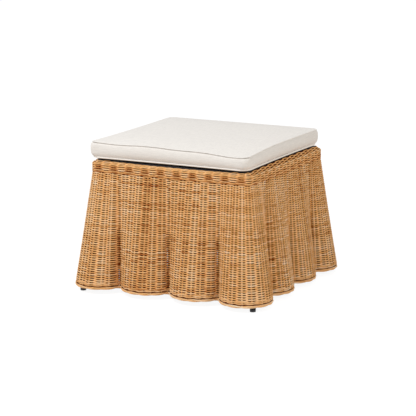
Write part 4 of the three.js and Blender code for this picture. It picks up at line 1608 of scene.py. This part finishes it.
def seen_directly(tree):
    """1 on rays from the camera and on those that metal or glass shows, and 0 on the rest."""
    rays = add(tree, "ShaderNodeLightPath").outputs
    seen = rays["Is Camera Ray"]
    for kind in ("Is Transmission Ray", "Is Glossy Ray"):
        seen = add(tree, "ShaderNodeMath", {0: seen, 1: rays[kind]}, operation="MAXIMUM").outputs[0]
    return seen


def set_lights(context):
    """A white world that lights at half strength, a key lamp from the left and a warm fill from the right."""
    world = bpy.data.worlds.new("studio")
    context.scene.world = world
    tree = emptied(world)
    strength = add(tree, "ShaderNodeMapRange", {0: seen_directly(tree), 3: 0.5, 4: 1.0})
    sky = add(tree, "ShaderNodeBackground", {"Color": (1, 1, 1), "Strength": strength.outputs[0]})
    add(tree, "ShaderNodeOutputWorld", {"Surface": sky.outputs[0]})
    context.scene.view_settings.view_transform = "Standard"
    for name, energy, size, place, colour in LAMPS:
        light = bpy.data.lights.new(name, "AREA")
        light.energy = energy
        light.color = colour
        light.size = size
        holder = linked(name, light)
        holder.location = place
        holder.rotation_euler = (LAMP_AIM - holder.location).to_track_quat("-Z", "Y").to_euler()


def set_floor():
    """A pale floor: white where the camera sees it, but for a painted shadow under the footstool where its
    glow fades out; the footstool's own soft shadow falls on its matt part.
    """
    bpy.ops.object.select_all(action="DESELECT")
    bpy.ops.mesh.primitive_plane_add(size=30, location=(0, 0, 0))
    floor = bpy.context.object
    floor.name = "floor"
    material = bpy.data.materials.new("pale_floor")
    tree = emptied(material)
    # The glow fades out into a painted shadow square under the footstool
    reach = add(tree, "ShaderNodeTexCoord").outputs["Object"]
    square = (SHADOW_HALF, SHADOW_HALF, 1)
    for operation, other in (("ABSOLUTE", square), ("SUBTRACT", square), ("MAXIMUM", (0, 0, 0))):
        reach = add(tree, "ShaderNodeVectorMath", {0: reach, 1: other}, operation=operation).outputs[0]
    reach = add(tree, "ShaderNodeVectorMath", {0: reach}, operation="LENGTH").outputs["Value"]
    near, far = SHADOW_FADE
    open_floor = add(tree, "ShaderNodeMapRange", {0: reach, 1: near, 2: far, 4: FLOOR_GLOW})
    glow = add(tree, "ShaderNodeEmission", {"Color": (1, 1, 1), "Strength": open_floor.outputs[0]})
    matt = add(tree, "ShaderNodeBsdfDiffuse", {"Color": linear("#7c7c7c")})
    lit = add(tree, "ShaderNodeAddShader", {0: glow.outputs[0], 1: matt.outputs[0]})
    pale = add(tree, "ShaderNodeBsdfDiffuse", {"Color": linear("#e2dad3")})
    sides = {0: seen_directly(tree), 1: pale.outputs[0], 2: lit.outputs[0]}
    mix = add(tree, "ShaderNodeMixShader", sides)
    add(tree, "ShaderNodeOutputMaterial", {"Surface": mix.outputs[0]})
    floor.data.materials.append(material)


class FOOTSTOOL_OT_set_stage(bpy.types.Operator):
    """Sets the camera, the lamps and the pale floor"""

    bl_idname = "footstool.set_stage"
    bl_label = "Set Stage"

    def execute(self, context):
        set_camera(context)
        set_lights(context)
        set_floor()
        return {"FINISHED"}


# The add-on


OPERATORS = (
    FOOTSTOOL_OT_set_stage,
    FOOTSTOOL_OT_weave_skirt,
    FOOTSTOOL_OT_weave_rim,
    FOOTSTOOL_OT_bend_poles,
    FOOTSTOOL_OT_fit_deck,
    FOOTSTOOL_OT_turn_glides,
    FOOTSTOOL_OT_sew_cushion,
    FOOTSTOOL_OT_fit_zip,
)


class FOOTSTOOL_PT_panel(bpy.types.Panel):
    """Lists the footstool's steps in the sidebar."""

    bl_label = "Footstool"
    bl_idname = "FOOTSTOOL_PT_panel"
    bl_space_type = "VIEW_3D"
    bl_region_type = "UI"
    bl_category = "Footstool"

    def draw(self, context):
        for operator in OPERATORS:
            self.layout.operator(operator.bl_idname)


GROUPS = (FootstoolWeave, FootstoolCushion, FootstoolColours)


def register():
    for kind in (*GROUPS, *OPERATORS, FOOTSTOOL_PT_panel):
        bpy.utils.register_class(kind)
    bpy.types.Scene.footstool_weave = bpy.props.PointerProperty(type=FootstoolWeave)
    bpy.types.Scene.footstool_cushion = bpy.props.PointerProperty(type=FootstoolCushion)
    bpy.types.Scene.footstool_colours = bpy.props.PointerProperty(type=FootstoolColours)


def unregister():
    del bpy.types.Scene.footstool_colours
    del bpy.types.Scene.footstool_cushion
    del bpy.types.Scene.footstool_weave
    for kind in reversed((*GROUPS, *OPERATORS, FOOTSTOOL_PT_panel)):
        bpy.utils.unregister_class(kind)


def main():
    register()
    bpy.ops.footstool.set_stage()
    bpy.ops.footstool.weave_skirt()
    bpy.ops.footstool.weave_rim()
    bpy.ops.footstool.bend_poles()
    bpy.ops.footstool.fit_deck()
    bpy.ops.footstool.turn_glides()
    bpy.ops.footstool.sew_cushion()
    bpy.ops.footstool.fit_zip()


if __name__ == "__main__":
    main()
